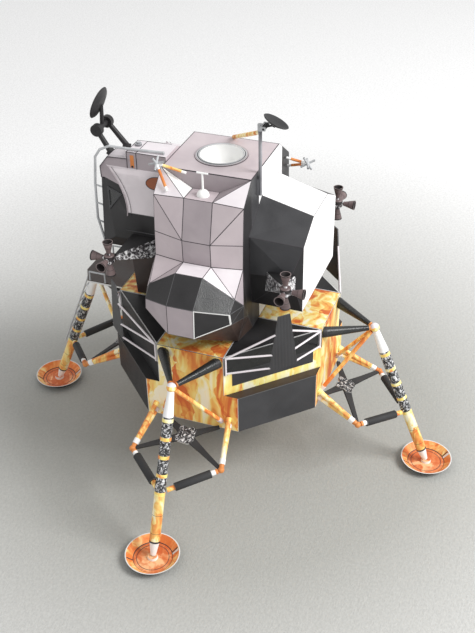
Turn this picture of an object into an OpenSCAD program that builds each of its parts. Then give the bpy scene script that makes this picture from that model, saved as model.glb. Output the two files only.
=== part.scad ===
// Printed-card lunar lander, 1:48, as an assembly of separate pieces.
// Origin on the floor under the centre of the four pads. +X port, +Y aft, +Z up.

/* [Descent stage] */
// Distance from the centre to each leg face
hull_r = 44; // [40:0.5:50]
// Half width of a leg face above the ledge
face_w = 13.8; // [11:0.1:16]
// Half width of a leg face below the ledge
foot_w = 19.6; // [17:0.1:22]
// Height of the hull's underside above the floor
base_z = 34; // [32:0.5:37]
// Height of the ledge of the lower bays
ledge_z = 50.4; // [46:0.2:54]
// Height of the deck
deck_z = 68.8; // [66:0.2:72]
// Card thickness of the deck and the base shield
card_t = 0.5; // [0.3:0.1:0.8]
// Exit radius of the descent engine bell
bell_r = 14.5; // [10:0.5:15]
// Height of the bell's exit above the floor
bell_z = 12; // [8:0.5:20]

/* [Landing legs] */
// Distance from the centre to the middle of a footpad
pad_x = 88.8; // [80:0.2:96]
// Radius of a footpad's rim
pad_r = 10.75; // [9:0.25:13]
// Radius of a footpad's floor
pad_floor_r = 7.9; // [6:0.1:9]
// Height of a footpad's rim
pad_h = 3; // [2:0.1:5]
// Distance from the centre to the top of the main strut
apex_x = 62.2; // [58:0.2:66]
// Height of the top of the main strut
apex_z = 64.8; // [60:0.2:66]
// Radius of the main strut
strut_r = 2.1; // [1.6:0.05:2.6]
// Height at which the side struts meet the main strut
fork_z = 25.65; // [20:0.25:32]
// Distance from the centre to the truss knuckles
knee_x = 62.05; // [58:0.1:66]
// Half spread of the truss knuckles
knee_y = 18.9; // [16:0.1:22]
// Height of the truss knuckles
knee_z = 28.7; // [24:0.1:32]
// Radius of the side struts' sleeves
sleeve_r = 1.65; // [1.2:0.05:2]
// Radius of the yellow truss tubes
tube_r = 1; // [0.7:0.05:1.2]
// Butt radius of the upper outriggers
rigger_r = 2.25; // [1.5:0.05:2.6]
// Air left between glued round pieces
seam = 0.1; // [0.05:0.05:0.2]

/* [Ascent stage] */
// Height of the top deck
top_z = 133.7; // [128:0.1:138]
// Half length of the mid-section, fore and aft
mid_y = 17.7; // [16:0.1:20]
// Port edge of the mid-section
mid_x = 21.3; // [19:0.1:24]
// Starboard edge of the top deck
top_x = -11; // [-16:0.1:-8]
// Radius of the crew cabin's drum
cabin_r = 24.35; // [22:0.1:25]
// Height of the drum's axis
cabin_z = 111; // [108:0.2:114]
// Position of the cabin's front face
nose_y = -46; // [-48:0.2:-44]
// Aft face of the equipment bay
bay_y = 38; // [34:0.2:42]
// Outer radius of the docking ring
dock_r = 10.25; // [9:0.05:12]
// Clear radius of the docking tunnel
tunnel_r = 8.25; // [7:0.05:9]

/* [Thrusters] */
// Exit radius of a thruster nozzle
nozzle_r = 2.05; // [1.5:0.05:2.4]
// Length of a thruster nozzle
nozzle_l = 5.6; // [4:0.1:7]

/* [Hidden] */
$fn = 48;

// foil, black card, pale lilac card and bare paper
foil = [0.95, 0.62, 0.16];
black_card = [0.13, 0.13, 0.14];
lilac = [0.70, 0.66, 0.69];
paper = [0.95, 0.95, 0.94];
grey_card = [0.55, 0.55, 0.56];
mauve = [0.42, 0.35, 0.36];

// a rod between two points, r1 at a and r2 at b
module rod(a, b, r1, r2) {
    d = b - a;
    l = norm(d);
    translate(a)
        rotate([0, acos(d[2] / l), atan2(d[1], d[0])])
            cylinder(h = l, r1 = r1, r2 = r2);
}

// the point a distance s from a towards b
function along(a, b, s) = a + (b - a) * s / norm(b - a);

// a closed solid lofted from flat faces
module card_box(points, faces) { polyhedron(points = points, faces = faces, convexity = 6); }

// turns for the legs, from port through aft
front = 270; port = 0; aft = 90; starboard = 180;

// ---------- descent stage ----------
bell_cut_r = 12;
bell_cut_h = 12;

module descent_core() color(foil)
    difference() {
        translate([0, 0, base_z])
            linear_extrude(deck_z - card_t - base_z)
                union() {
                    square([2 * hull_r, 2 * face_w], center = true);
                    square([2 * face_w, 2 * hull_r], center = true);
                }
        translate([0, 0, base_z - 1]) cylinder(h = bell_cut_h + 1, r = bell_cut_r);
    }

module quadrant_bays() color(black_card)
    for (turn = [front, port, aft, starboard])
        rotate([0, 0, turn]) {
            translate([0, 0, base_z])
                linear_extrude(ledge_z - base_z)
                    polygon([[face_w, face_w], [hull_r, face_w], [hull_r, foot_w],
                             [foot_w, hull_r], [face_w, hull_r]]);
            translate([0, 0, ledge_z])
                linear_extrude(deck_z - card_t - ledge_z)
                    polygon([[face_w, face_w], [hull_r, face_w], [face_w, hull_r]]);
        }

module descent_deck() color(foil)
    translate([0, 0, deck_z - card_t])
        linear_extrude(card_t)
            polygon([for (t = [0 : 90 : 270], s = [-1, 1])
                [hull_r * cos(t) - s * face_w * sin(t), hull_r * sin(t) + s * face_w * cos(t)]]);

module base_shield() color(foil)
    translate([0, 0, base_z - card_t])
        linear_extrude(card_t)
            difference() {
                polygon([for (t = [0 : 90 : 270], s = [-1, 1])
                    [hull_r * cos(t) - s * foot_w * sin(t), hull_r * sin(t) + s * foot_w * cos(t)]]);
                circle(r = bell_cut_r);
            }

bell_t = 0.5;
throat_r = 4;
module descent_engine_bell() color(grey_card)
    rotate_extrude()
        polygon([[0, base_z + bell_cut_h], [throat_r, base_z + bell_cut_h],
                 [throat_r + 2.6, base_z + 5], [bell_r - 3.6, bell_z + 9], [bell_r, bell_z],
                 [bell_r - bell_t, bell_z], [bell_r - 3.6 - bell_t, bell_z + 9],
                 [throat_r + 2.6 - bell_t, base_z + 5], [0, base_z + 5]]);

// ---------- legs ----------
apex = [apex_x, 0, apex_z];
lean = (pad_x - apex_x) / (apex_z - 0.5);
fork = [apex_x + lean * (apex_z - fork_z), 0, fork_z];
boss_z = 1.6;
knee_r = 1.3;
apex_r = 1.9;
cone_l = 11.5;
function on_strut(z) = [apex_x + lean * (apex_z - z), 0, z];

module primary_strut() {
    neck = along(apex, fork, cone_l);
    difference() {
        union() {
            color(foil) translate(apex) sphere(r = apex_r);
            color(paper) rod(apex, neck, 1.15, strut_r);
            color(foil) rod(along(neck, apex, 0.1), on_strut(6.2), strut_r, strut_r);
            color(paper) rod(on_strut(6.4), on_strut(0.8), strut_r - 0.15, 1.1);
        }
        translate([pad_x - 10, -10, -10]) cube([20, 20, 10 + boss_z + 0.02]);
    }
}

module footpad() {
    translate([pad_x, 0, 0])
        color(foil)
            rotate_extrude()
                polygon([[0, 0], [pad_floor_r, 0], [pad_r, pad_h], [pad_r - 0.45, pad_h],
                         [pad_floor_r - 0.3, 0.5], [2.1, 0.5], [1.9, boss_z], [0, boss_z]]);
}

module side_struts()
    for (s = [-1, 1]) {
        knee = [knee_x, s * knee_y, knee_z];
        a = along(fork, knee, 2.85);
        b = along(knee, fork, knee_r + seam);
        c = along(fork, knee, 6);
        d = along(knee, fork, 4.2);
        union() {
            color(foil) rod(a, b, 1, 1);
            color(black_card) rod(c, d, sleeve_r, sleeve_r);
        }
    }

upper_w = 11.2;
upper_z = deck_z - 3;
lower_w = 12.4;
lower_z = base_z + 3;
lower_r = 0.85;
module outriggers()
    for (s = [-1, 1]) {
        a = [hull_r, s * upper_w, upper_z];
        b = [hull_r, s * lower_w, lower_z];
        difference() {
            union() {
                color(black_card) rod(along(a, apex, -4), along(apex, a, apex_r + 0.25), rigger_r, 1);
                color(foil) rod(along(b, apex, -3), along(apex, b, apex_r + 0.25), lower_r, lower_r);
            }
            translate([hull_r - 10, -50, 0]) cube([10, 100, 100]);
        }
    }

hip_w = 15.6;
hip_z = [base_z + 2.2, base_z + 5.6];
brace_t = 0.7;
// a flat arm from the origin to a point, half widths wa and wb
module arm2d(q, wa, wb)
    rotate(atan2(q[1], q[0])) polygon([[0, -wa], [norm(q), -wb], [norm(q), wb], [0, wa]]);

module truss() {
    inner = [hull_r + 0.6, face_w - 1.2, base_z + 0.7];
    run = knee_x - inner[0];
    drop = inner[2] - knee_z;
    reach = norm([run, drop]);
    hub = reach * inner[1] / (inner[1] + knee_y);
    difference() {
        union() {
            color(black_card)
                translate([inner[0], 0, inner[2]])
                    rotate([0, atan2(drop, run), 0])
                        translate([hub, 0, -brace_t / 2])
                            linear_extrude(brace_t) {
                                circle(r = 3);
                                for (s = [-1, 1]) {
                                    arm2d([-hub - 1, s * inner[1]], 1.8, 0.8);
                                    arm2d([reach - hub, s * knee_y], 1.8, 0.8);
                                }
                            }
            for (s = [-1, 1]) {
                knee = [knee_x, s * knee_y, knee_z];
                color(paper) translate(knee) sphere(r = knee_r);
                for (z = hip_z)
                    color(foil) rod(along([hull_r, s * hip_w, z], knee, -3), knee, tube_r, tube_r);
            }
        }
        translate([hull_r - 20, -50, 0]) cube([20, 100, 100]);
    }
}

module front_primary_strut() rotate([0, 0, front]) primary_strut();
module port_primary_strut() rotate([0, 0, port]) primary_strut();
module aft_primary_strut() rotate([0, 0, aft]) primary_strut();
module starboard_primary_strut() rotate([0, 0, starboard]) primary_strut();
module front_footpad() rotate([0, 0, front]) footpad();
module port_footpad() rotate([0, 0, port]) footpad();
module aft_footpad() rotate([0, 0, aft]) footpad();
module starboard_footpad() rotate([0, 0, starboard]) footpad();
module front_side_struts() rotate([0, 0, front]) side_struts();
module port_side_struts() rotate([0, 0, port]) side_struts();
module aft_side_struts() rotate([0, 0, aft]) side_struts();
module starboard_side_struts() rotate([0, 0, starboard]) side_struts();
module front_outriggers() rotate([0, 0, front]) outriggers();
module port_outriggers() rotate([0, 0, port]) outriggers();
module aft_outriggers() rotate([0, 0, aft]) outriggers();
module starboard_outriggers() rotate([0, 0, starboard]) outriggers();
module front_truss() rotate([0, 0, front]) truss();
module port_truss() rotate([0, 0, port]) truss();
module aft_truss() rotate([0, 0, aft]) truss();
module starboard_truss() rotate([0, 0, starboard]) truss();

// ---------- porch, ladder and plume deflectors ----------
porch_t = 0.8;
porch_z = deck_z - card_t;
porch_w = 12;
porch_front = 60;
step_w = 4;
rail_off = 2.5;
rail_r = 0.35;
rail_w = 2.8;
step_front = apex_x + lean * (apex_z - porch_z) + rail_off / cos(atan(lean)) + 0.8;
loop_h = 5;

module porch() color(grey_card)
    union() {
        translate([0, 0, porch_z])
            linear_extrude(porch_t)
                polygon([[-porch_w, -hull_r], [-porch_w, -porch_front], [-step_w, -step_front],
                         [step_w, -step_front], [porch_w, -porch_front], [porch_w, -hull_r]]);
        for (s = [-1, 1]) {
            foot_a = [s * (porch_w - 0.7), -porch_front + 0.9, porch_z];
            foot_b = [s * (porch_w - 0.7), -porch_front + 8, porch_z];
            rod(foot_a, foot_a + [0, 0, loop_h], rail_r, rail_r);
            rod(foot_b, foot_b + [0, 0, loop_h], rail_r, rail_r);
            rod(foot_a + [0, 0, loop_h], foot_b + [0, 0, loop_h], rail_r, rail_r);
            translate(foot_a + [0, 0, loop_h]) sphere(r = rail_r);
            translate(foot_b + [0, 0, loop_h]) sphere(r = rail_r);
        }
    }

rung_n = 9;
rung_top = 61;
rung_step = 4;
slope = atan(lean);
// a point of the ladder: s sideways, off outwards from the strut's axis, at strut height z
function ladder_pt(s, off, z) = [apex_x + lean * (apex_z - z) + off * cos(slope), s, z + off * sin(slope)];

module ladder() rotate([0, 0, front]) color(paper)
    difference() {
        union() {
            for (s = [-rail_w, rail_w])
                rod(ladder_pt(s, rail_off, 25), ladder_pt(s, rail_off, 72), rail_r, rail_r);
            for (i = [0 : rung_n - 1])
                rod(ladder_pt(-rail_w, rail_off, rung_top - i * rung_step),
                    ladder_pt(rail_w, rail_off, rung_top - i * rung_step), 0.25, 0.25);
            for (z = [29, 49])
                rod(ladder_pt(0, strut_r + seam, z), ladder_pt(0, rail_off + 0.1, z), 0.3, 0.3);
        }
        translate([0, -50, porch_z]) cube([100, 100, 50]);
    }

vane_w = 49.4;
vane_low = 63.2;
vane_high = 87.4;
vane_base = 6.1;
vane_tip = 2.5;
vane_t = 0.5;
post_u = (hull_r - face_w) / sqrt(2) - 0.8;
post_w = (hull_r + face_w) / sqrt(2);
module plume_deflectors()
    for (turn = [45 : 90 : 315])
        rotate([0, 0, turn]) {
            color(black_card)
                translate([vane_w, 0, 0])
                    rotate([90, 0, 90])
                        linear_extrude(vane_t, center = true)
                            polygon([[-vane_base, vane_low], [vane_base, vane_low],
                                     [vane_tip, vane_high], [-vane_tip, vane_high]]);
            for (s = [-1, 1]) {
                top = [post_w + 0.4, s * post_u, deck_z - 0.4];
                low = [post_w + 0.4, s * post_u, deck_z - 7.6];
                color(paper) {
                    rod(low - [0, 0, 0.8], top + [0, 0, 0.4], 0.4, 0.4);
                    rod(top, [vane_w, s * 3.4, 79.5], 0.4, 0.4);
                    rod(top, [vane_w, s * 4.7, 70.5], 0.4, 0.4);
                    rod(low, [vane_w, s * 5.6, 64.6], 0.4, 0.4);
                }
            }
        }

// ---------- ascent stage ----------
// mirrored points from one side's table, odd numbers on the positive side
function both_sides(rows) = [for (p = rows, s = [-1, 1]) [p[0], s * p[1], p[2]]];
function side_faces(faces) = concat(
    [for (f = faces) [for (i = f) 2 * i + 1]],
    [for (f = faces) [for (i = [len(f) - 1 : -1 : 0]) 2 * f[i]]]);
function cross_faces(pairs) = [for (p = pairs) [2 * p[0], 2 * p[0] + 1, 2 * p[1] + 1, 2 * p[1]]];

stage_z = deck_z + 0.2;
low_z = 81;
tunnel_d = 8;
tunnel_x = (mid_x + top_x) / 2;
bowl_t = 0.4;
engine_cut_r = 8;
engine_cut_h = 12;
side_x = -14.2;
side_z = top_z - 2.3;

module midsection() color(lilac)
    difference() {
        rotate([90, 0, 0])
            linear_extrude(2 * mid_y, center = true)
                polygon([[side_x, stage_z], [mid_x, stage_z], [mid_x, top_z], [top_x, top_z], [side_x, side_z]]);
        translate([tunnel_x, 0, top_z - tunnel_d]) cylinder(h = tunnel_d + 1, r = tunnel_r + bowl_t + 0.05);
        translate([tunnel_x, 0, stage_z - 1]) cylinder(h = engine_cut_h + 1, r = engine_cut_r);
    }

module docking_ring() color(paper)
    translate([tunnel_x, 0, top_z])
        rotate_extrude()
            polygon([[0, 0.4 - tunnel_d], [tunnel_r * 0.55, 0.4 - tunnel_d], [tunnel_r, -1], [tunnel_r, 0.5],
                     [tunnel_r + 0.7, 0.5], [tunnel_r + 0.7, 0.3], [dock_r, 0.3], [dock_r, 0],
                     [tunnel_r + bowl_t, 0], [tunnel_r + bowl_t, -tunnel_d], [0, -tunnel_d]]);

module ascent_engine_bell() color(grey_card)
    translate([tunnel_x, 0, stage_z])
        rotate_extrude()
            polygon([[0, engine_cut_h], [2, engine_cut_h], [2.4, 9], [5.2, 3], [6.4, 0.4], [6, 0.4],
                     [4.8, 3], [2, 9], [0, 9]]);

// folds of a tank bay: distance out, half width, height
T = 0; C = 1; Bo = 2; Bi = 3; Do = 4; Di = 5; Eo = 6; Ei = 7; Fi = 8; Fo = 9; Fc = 10;
Gi = 11; Go = 12; Hi = 13; Ho = 14; Hc = 15; J = 16; M = 17; K = 18;
port_folds = [
    [mid_x, mid_y, top_z], [mid_x, 5.4, top_z - 7], [29.7, mid_y, 126.3], [29.6, 5.6, top_z - 7],
    [30.8, mid_y, 111.5], [33.4, 5.6, 110.9], [31.3, mid_y, 101.6], [33.1, 5.6, 101.4],
    [41.2, 5.45, 101.4], [39.5, 17.2, 93.4], [36.6, 19.75, 89.4], [51.05, 5.3, 93.1],
    [44.3, 16.9, 89.65], [51.3, 5.2, 80.7], [43.95, 17.3, 85], [36.6, 19.75, 84],
    [32.2, 15.6, stage_z], [26.5, mid_y, 78], [mid_x, mid_y, stage_z]];
starboard_folds = [
    [-side_x, mid_y, side_z], [-side_x, 5.4, 124.6], [23.3, mid_y, 124.6], [23.2, 5.6, 124.6],
    [23.8, mid_y, 111.5], [25.6, 5.6, 110.9], [24.4, mid_y, 101.6], [25.4, 5.6, 101.4],
    [31.5, 5.45, 101.4], [30.4, 17.2, 93.4], [28.6, 19.2, 89.4], [38.6, 5.3, 93.1],
    [34, 16.9, 89.65], [38.8, 5.2, 80.7], [33.7, 17.3, 85], [28.6, 19.2, 84],
    [26.4, 15.6, stage_z], [25.4, mid_y, 78], [-side_x, mid_y, stage_z]];
tank_sides = [[T, Bo, Bi], [T, Bi, C], [Bi, Bo, Di], [Bo, Do, Di], [Di, Do, Ei], [Do, Eo, Ei],
    [Ei, Eo, Fo], [Ei, Fo, Fi], [Fi, Fo, Gi], [Fo, Go, Gi], [Gi, Go, Hi], [Go, Ho, Hi],
    [Hi, Ho, J], [Ho, Hc, J], [Hc, M, J], [M, K, J], [Eo, Fc, Fo], [Fo, Fc, Go], [Go, Fc, Ho],
    [Fc, Hc, Ho], [Eo, M, Fc], [M, Hc, Fc], [T, K, M, Eo, Do, Bo], [T, C, K]];
tank_mid = [[C, Bi], [Bi, Di], [Di, Ei], [Ei, Fi], [Fi, Gi], [Gi, Hi], [Hi, J], [K, C], [J, K]];
module tank_bay(folds)
    card_box(both_sides(folds), concat(side_faces(tank_sides), cross_faces(tank_mid)));
module port_tank_bay() color(lilac) tank_bay(port_folds);
module starboard_tank_bay() color(lilac) mirror([1, 0, 0]) tank_bay(starboard_folds);

// folds of the equipment bay: distance aft, half width, height
aft_folds = [[mid_y, 10, 122], [bay_y, 9.4, 116.3], [bay_y, 21.7, 109.5], [mid_y, 24.8, 112],
    [mid_y, 24, 95.6], [bay_y - 4.2, 24, 96.8], [bay_y, 21.5, low_z], [mid_y, 21.5, low_z]];
module aft_equipment_bay() color(paper)
    rotate([0, 0, 90])
        card_box(both_sides(aft_folds), concat(
            side_faces([[3, 1, 0], [3, 2, 1], [5, 2, 3], [4, 5, 3], [5, 6, 2], [7, 5, 4], [7, 6, 5]]),
            cross_faces([[0, 1], [6, 7]]),
            [[2, 3, 5, 13, 12, 4], [6, 8, 14, 15, 9, 7, 1, 0]]));

// ---------- crew cabin ----------
nose_w = 17;
side_cut_y = -31.6;
side_cut_z = 113.3;
brow_z = top_z + 1.5;
// slope of the window panels, sideways and upwards
cut_a = (side_cut_y - nose_y) / (cabin_r - nose_w);
cut_b = 0.2;
cut_n = [cut_a, -1, cut_b] / norm([cut_a, -1, cut_b]);
module on_window_panel(s)
    mirror([s < 0 ? 1 : 0, 0, 0])
        translate([cabin_r, side_cut_y, side_cut_z])
            rotate([0, acos(cut_n[2]), atan2(cut_n[1], cut_n[0])])
                children();

// the roof and the brow fall away towards starboard from these port edges
roof_x = 6.4;
brow_x = 8.5;
brow_top = 132;
roof_fall = 26.6;
brow_fall = 25.2;

// height of the starboard cheek, below which nothing falls away
cheek_z = 121.6;

module crew_cabin() color(lilac)
    difference() {
        cabin_body();
        intersection() {
            union() {
                translate([roof_x, -34, brow_z]) rotate([0, -roof_fall, 0])
                    translate([-60, 0, 0]) cube([70, 20, 30]);
                translate([brow_x, -54, brow_top]) rotate([0, -brow_fall, 0])
                    translate([-60, 0, 0]) cube([70, 20.01, 30]);
            }
            translate([-60, -60, cheek_z]) cube([120, 60, 40]);
        }
    }

module cabin_body()
    union() {
        difference() {
            translate([0, 0, cabin_z]) rotate([90, 0, 0])
                translate([0, 0, mid_y]) cylinder(h = -nose_y - mid_y, r = cabin_r);
            for (s = [-1, 1])
                on_window_panel(s) translate([-60, -60, 0]) cube([120, 120, 60]);
            translate([-nose_w, nose_y - 1, cabin_z + 12]) cube([2 * nose_w, 12, 50]);
        }
        translate([0, -mid_y, 0])
            rotate([90, 0, 0])
                linear_extrude(16.3)
                    polygon([[-nose_w, cabin_z], [nose_w, cabin_z], [nose_w, brow_z], [-nose_w, brow_z]]);
        rotate([90, 0, 90])
            linear_extrude(2 * nose_w, center = true)
                polygon([[-34, 116], [-43, 121.7], [nose_y + 0.4, 122.9], [nose_y + 0.2, 127.4],
                         [-42.3, 131.9], [-34, 132.2]]);
        translate([0, -mid_y, stage_z])
            rotate([90, 0, 0])
                linear_extrude(18.3)
                    polygon([[-13, 0], [13, 0], [16, 22], [-16, 22]]);
    }

hatch_w = 16.6;
hatch_z = 88.6;
module forward_hatch() color(black_card)
    translate([-hatch_w / 2, nose_y - 0.5, hatch_z]) cube([hatch_w, 0.5, hatch_w]);

module cabin_windows() color(grey_card)
    for (s = [-1, 1])
        on_window_panel(s) translate([-8, -6, 0]) linear_extrude(0.3) polygon([[0, 0], [9, 0], [4, -7]]);

// handrail: half width out, forward, height
rail_path = [[15, -19.5, 136], [16, -34.8, 136], [16, -41.4, 136], [16.4, -45.4, 134.2],
             [16.6, -47.6, 130.9], [16.6, -48.8, 119.5], [16.6, -49.2, 104.2], [16.6, -46.9, 94]];
module handrail() color(grey_card)
    union() {
        for (i = [0 : len(rail_path) - 2]) rod(rail_path[i], rail_path[i + 1], 0.5, 0.5);
        for (p = rail_path) translate(p) sphere(r = 0.56);
        for (z = [103, 111, 119])
            rod([16.2, nose_y - 0.25, z - 1], [16.7, -49, z], 0.35, 0.35);
        rod([15, -19.5, brow_z], [15, -19.5, 136], 0.45, 0.45);
    }

// ---------- thrusters ----------
thruster_spot = 35.5;
thruster_z = 98.6;
block_r = 1.7;
module nozzle()
    rotate_extrude()
        polygon([[0, block_r], [0.75, block_r], [0.75, block_r + 0.8], [1, block_r + 1.6],
                 [nozzle_r, block_r + nozzle_l], [nozzle_r - 0.3, block_r + nozzle_l],
                 [0.6, block_r + 1.8], [0, block_r + 1.8]]);
// sx, sy: the corner's signs
module thrusters(sx, sy) color(mauve)
    translate([sx * thruster_spot, sy * thruster_spot, thruster_z])
        union() {
            cylinder(h = 2 * block_r, r = block_r + 0.35, center = true);
            for (a = [[0, 0, 0], [180, 0, 0], [0, sx * 90, 0], [-sy * 90, 0, 0]])
                rotate(a) { nozzle(); translate([0, 0, 0.5]) cylinder(h = block_r, r = 0.75); }
        }
module port_front_thrusters() thrusters(1, -1);
module port_aft_thrusters() thrusters(1, 1);
module starboard_front_thrusters() thrusters(-1, -1);
module starboard_aft_thrusters() thrusters(-1, 1);

// booms of foil-printed card from the hull's corners
boom_end = 2.1;
module rcs_booms() color(grey_card)
    for (sx = [-1, 1], sy = [-1, 1])
        difference() {
            hull() {
                translate([sx * (thruster_spot - boom_end), sy * (thruster_spot - boom_end), thruster_z])
                    cube([0.8, 0.8, 2.6], center = true);
                translate(sy > 0 ? [sx * 22.6, 29.5, 93] : [sx * 21.6, -25, 99])
                    cube([0.6, 12, 9], center = true);
            }
            aft_equipment_bay();
            translate([0, 0, cabin_z]) rotate([90, 0, 0]) translate([0, 0, mid_y])
                cylinder(h = -nose_y - mid_y, r = cabin_r);
        }

// ---------- antennas ----------
module crossed_tubes(at, tilt)
    translate(at) rotate(tilt) union() {
        sphere(r = 0.9);
        for (a = [[0, 0, 0], [90, 0, 0], [0, 90, 0]])
            rotate(a) cylinder(h = 6.4, r = 0.45, center = true);
    }
module vhf_antennas() color(grey_card) {
    union() {
        crossed_tubes([23.4, -18.6, 135.8], [20, 30, 10]);
        rod([23.4, -18.6, 135.8], [22.1, -7.4, 133], 0.5, 0.5);
        rod([23.4, -18.6, 135.8], [28.9, -12.4, 128], 0.5, 0.5);
    }
    union() {
        crossed_tubes([-20, 26.5, 122.4], [30, 10, 20]);
        rod([-20, 26.5, 122.4], [-19, mid_y + 0.3, 124.2], 0.5, 0.7);
        rod([-20, 26.5, 122.4], [-20.5, mid_y + 0.3, 120], 0.5, 0.7);
    }
}

module eva_antenna() color(paper)
    translate([25.4, 0.3, top_z - 7])
        union() {
            difference() { sphere(r = 2.4); translate([-5, -5, -10]) cube([10, 10, 10]); }
            cylinder(h = 9, r = 0.4);
            translate([0, 0, 9]) rotate([90, 0, 0]) cylinder(h = 4.4, r = 0.35, center = true);
        }

mast_at = [14.6, mid_y + 1];
pan_at = [mast_at[0], mast_at[1], 152];
tilt_at = pan_at + [0, 2, 0];
pin_r = 0.4;
pin_gap = 0.05;
dish_r = 5;
dish_off = [0, 3.2, 1];
dish_lean = [-25, -14, 0];
ear_x = 2;
ear_t = 0.6;
module dish_shell(r)
    rotate_extrude()
        polygon([[0, 0], [r * 0.5, 0.3], [r * 0.93, 1.2], [r, 1.6], [r - 0.2, 1.75], [r * 0.5, 0.75], [0, 0.5]]);

module sband_mast() color(grey_card)
    union() {
        rod([mast_at[0], mast_at[1], 124.6], pan_at - [0, 0, 1.8], 0.65, 0.65);
        translate(pan_at - [0, 0, 2.2]) cylinder(h = 1.9, r = pin_r);
        translate([mast_at[0] - 2, mid_y, 124.6]) cube([2.6, 1, 6.6]);
        rod([-9.6, -0.5, top_z + 0.75], pan_at - [0.4, 0.2, 2.6], 0.8, 0.8);
    }
module sband_yoke() color(grey_card)
    translate(pan_at)
        difference() {
            union() {
                translate([0, 0, -1.7]) cylinder(h = 2.4, r = 1);
                translate([-ear_x - ear_t, 0.6, -0.6]) cube([2 * (ear_x + ear_t), 0.6, 1.2]);
                for (s = [-1, 1])
                    translate([s * (ear_x + ear_t / 2) - ear_t / 2, 0.6, -0.7]) cube([ear_t, 2.1, 1.4]);
            }
            translate([0, 0, -2]) cylinder(h = 1.8, r = pin_r + pin_gap);
            translate([0, 2, 0]) rotate([0, 90, 0]) cylinder(h = 10, r = pin_r + pin_gap, center = true);
        }
module sband_dish() color(black_card)
    translate(tilt_at) union() {
        rotate([0, 90, 0]) cylinder(h = 2 * (ear_x + ear_t), r = pin_r, center = true);
        rotate([0, 90, 0]) cylinder(h = 2 * ear_x - 0.4, r = pin_r + 0.3, center = true);
        rod([0, 0, 0], dish_off - [0, 0.1, 0], 0.4, 0.4);
        translate(dish_off) rotate(dish_lean) { dish_shell(dish_r); translate([0, 0, -0.6]) cylinder(h = 0.9, r = 0.7); }
    }

radar_at = [4.3, -50, 138.2];
radar_r = 6.5;
drum_x = 4.4;
drum_w = 2.2;
drum_r = 2.4;
// per arm, starboard first: foot on the brow and how the brow leans there
arm_feet = [[-42.4, 128.01], [-44.34, 129.37]];
arm_lean = [[0, -brow_fall, 0], [52.1, 0, 0]];
arm_out = [[-0.4, 0, 0.85], [0, -0.7, 0.56]];
module radar_arms() color(black_card)
    for (s = [-1, 1])
        translate([radar_at[0] + s * drum_x, 0, 0])
            union() {
                foot = [0, arm_feet[(s + 1) / 2][0], arm_feet[(s + 1) / 2][1]];
                hub = [0, radar_at[1], radar_at[2]];
                knee = foot + arm_out[(s + 1) / 2];
                translate(hub) rotate([0, 90, 0])
                    difference() {
                        cylinder(h = drum_w, r = drum_r, center = true);
                        cylinder(h = 2 * drum_w, r = pin_r + pin_gap, center = true);
                    }
                rod(along(hub, knee, drum_r - 0.5), knee, 1, 1.15);
                translate(foot) rotate(arm_lean[(s + 1) / 2]) cylinder(h = 1.7, r = 1.7);
            }
module radar_dish() color(black_card)
    translate(radar_at) union() {
        rotate([0, 90, 0]) cylinder(h = 2 * drum_x + drum_w, r = pin_r, center = true);
        rotate([0, 90, 0]) cylinder(h = 2 * drum_x - drum_w - 0.4, r = 1.2, center = true);
        rod([0, 0, 0], [0, 0.5, 8.6], 0.9, 0.7);
        translate([0, 0.8, 8.8]) rotate([70, 0, 0]) dish_shell(radar_r);
        translate([0, -1.6, -2.6]) sphere(r = 1.6);
        rod([0, 0, 0], [0, -1.6, -2.6], 0.7, 0.7);
    }

descent_core();
quadrant_bays();
descent_deck();
base_shield();
descent_engine_bell();
front_primary_strut();
port_primary_strut();
aft_primary_strut();
starboard_primary_strut();
front_footpad();
port_footpad();
aft_footpad();
starboard_footpad();
front_side_struts();
port_side_struts();
aft_side_struts();
starboard_side_struts();
front_outriggers();
port_outriggers();
aft_outriggers();
starboard_outriggers();
front_truss();
port_truss();
aft_truss();
starboard_truss();
porch();
ladder();
plume_deflectors();
midsection();
crew_cabin();
forward_hatch();
cabin_windows();
port_tank_bay();
starboard_tank_bay();
aft_equipment_bay();
docking_ring();
handrail();
ascent_engine_bell();
rcs_booms();
port_front_thrusters();
port_aft_thrusters();
starboard_front_thrusters();
starboard_aft_thrusters();
vhf_antennas();
eva_antenna();
sband_mast();
sband_yoke();
sband_dish();
radar_arms();
radar_dish();
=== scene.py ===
import bpy
import bmesh
import math
from mathutils import Euler, Matrix, Quaternion, Vector


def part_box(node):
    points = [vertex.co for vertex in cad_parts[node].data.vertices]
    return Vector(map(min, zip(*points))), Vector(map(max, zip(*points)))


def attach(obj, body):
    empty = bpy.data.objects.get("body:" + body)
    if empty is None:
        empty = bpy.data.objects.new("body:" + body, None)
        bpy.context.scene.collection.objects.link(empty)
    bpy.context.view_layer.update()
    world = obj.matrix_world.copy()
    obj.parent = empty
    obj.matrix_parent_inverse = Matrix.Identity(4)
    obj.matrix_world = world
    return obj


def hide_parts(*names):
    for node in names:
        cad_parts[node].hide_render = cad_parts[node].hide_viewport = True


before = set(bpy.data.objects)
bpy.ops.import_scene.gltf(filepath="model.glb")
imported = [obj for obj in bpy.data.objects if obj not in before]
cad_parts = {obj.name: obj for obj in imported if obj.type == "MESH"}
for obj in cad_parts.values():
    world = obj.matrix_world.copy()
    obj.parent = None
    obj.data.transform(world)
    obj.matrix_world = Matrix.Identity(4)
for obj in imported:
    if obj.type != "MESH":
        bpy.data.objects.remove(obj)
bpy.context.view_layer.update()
mm = 0.001  # the tables below are in millimetres
print("frame loaded")

# ---- bench, camera and lamps ----
benchView = {"place": (0.3271, 0.1270, 0.2998), "aim": (-0.0011, 0.0029, 0.0560), "roll": 1.0, "lens": 57.2}
benchLight = {"keyAt": (0.02, 0.70, 0.66), "keySize": 0.45, "keyPower": 7.9, "room": 0.69}


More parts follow.
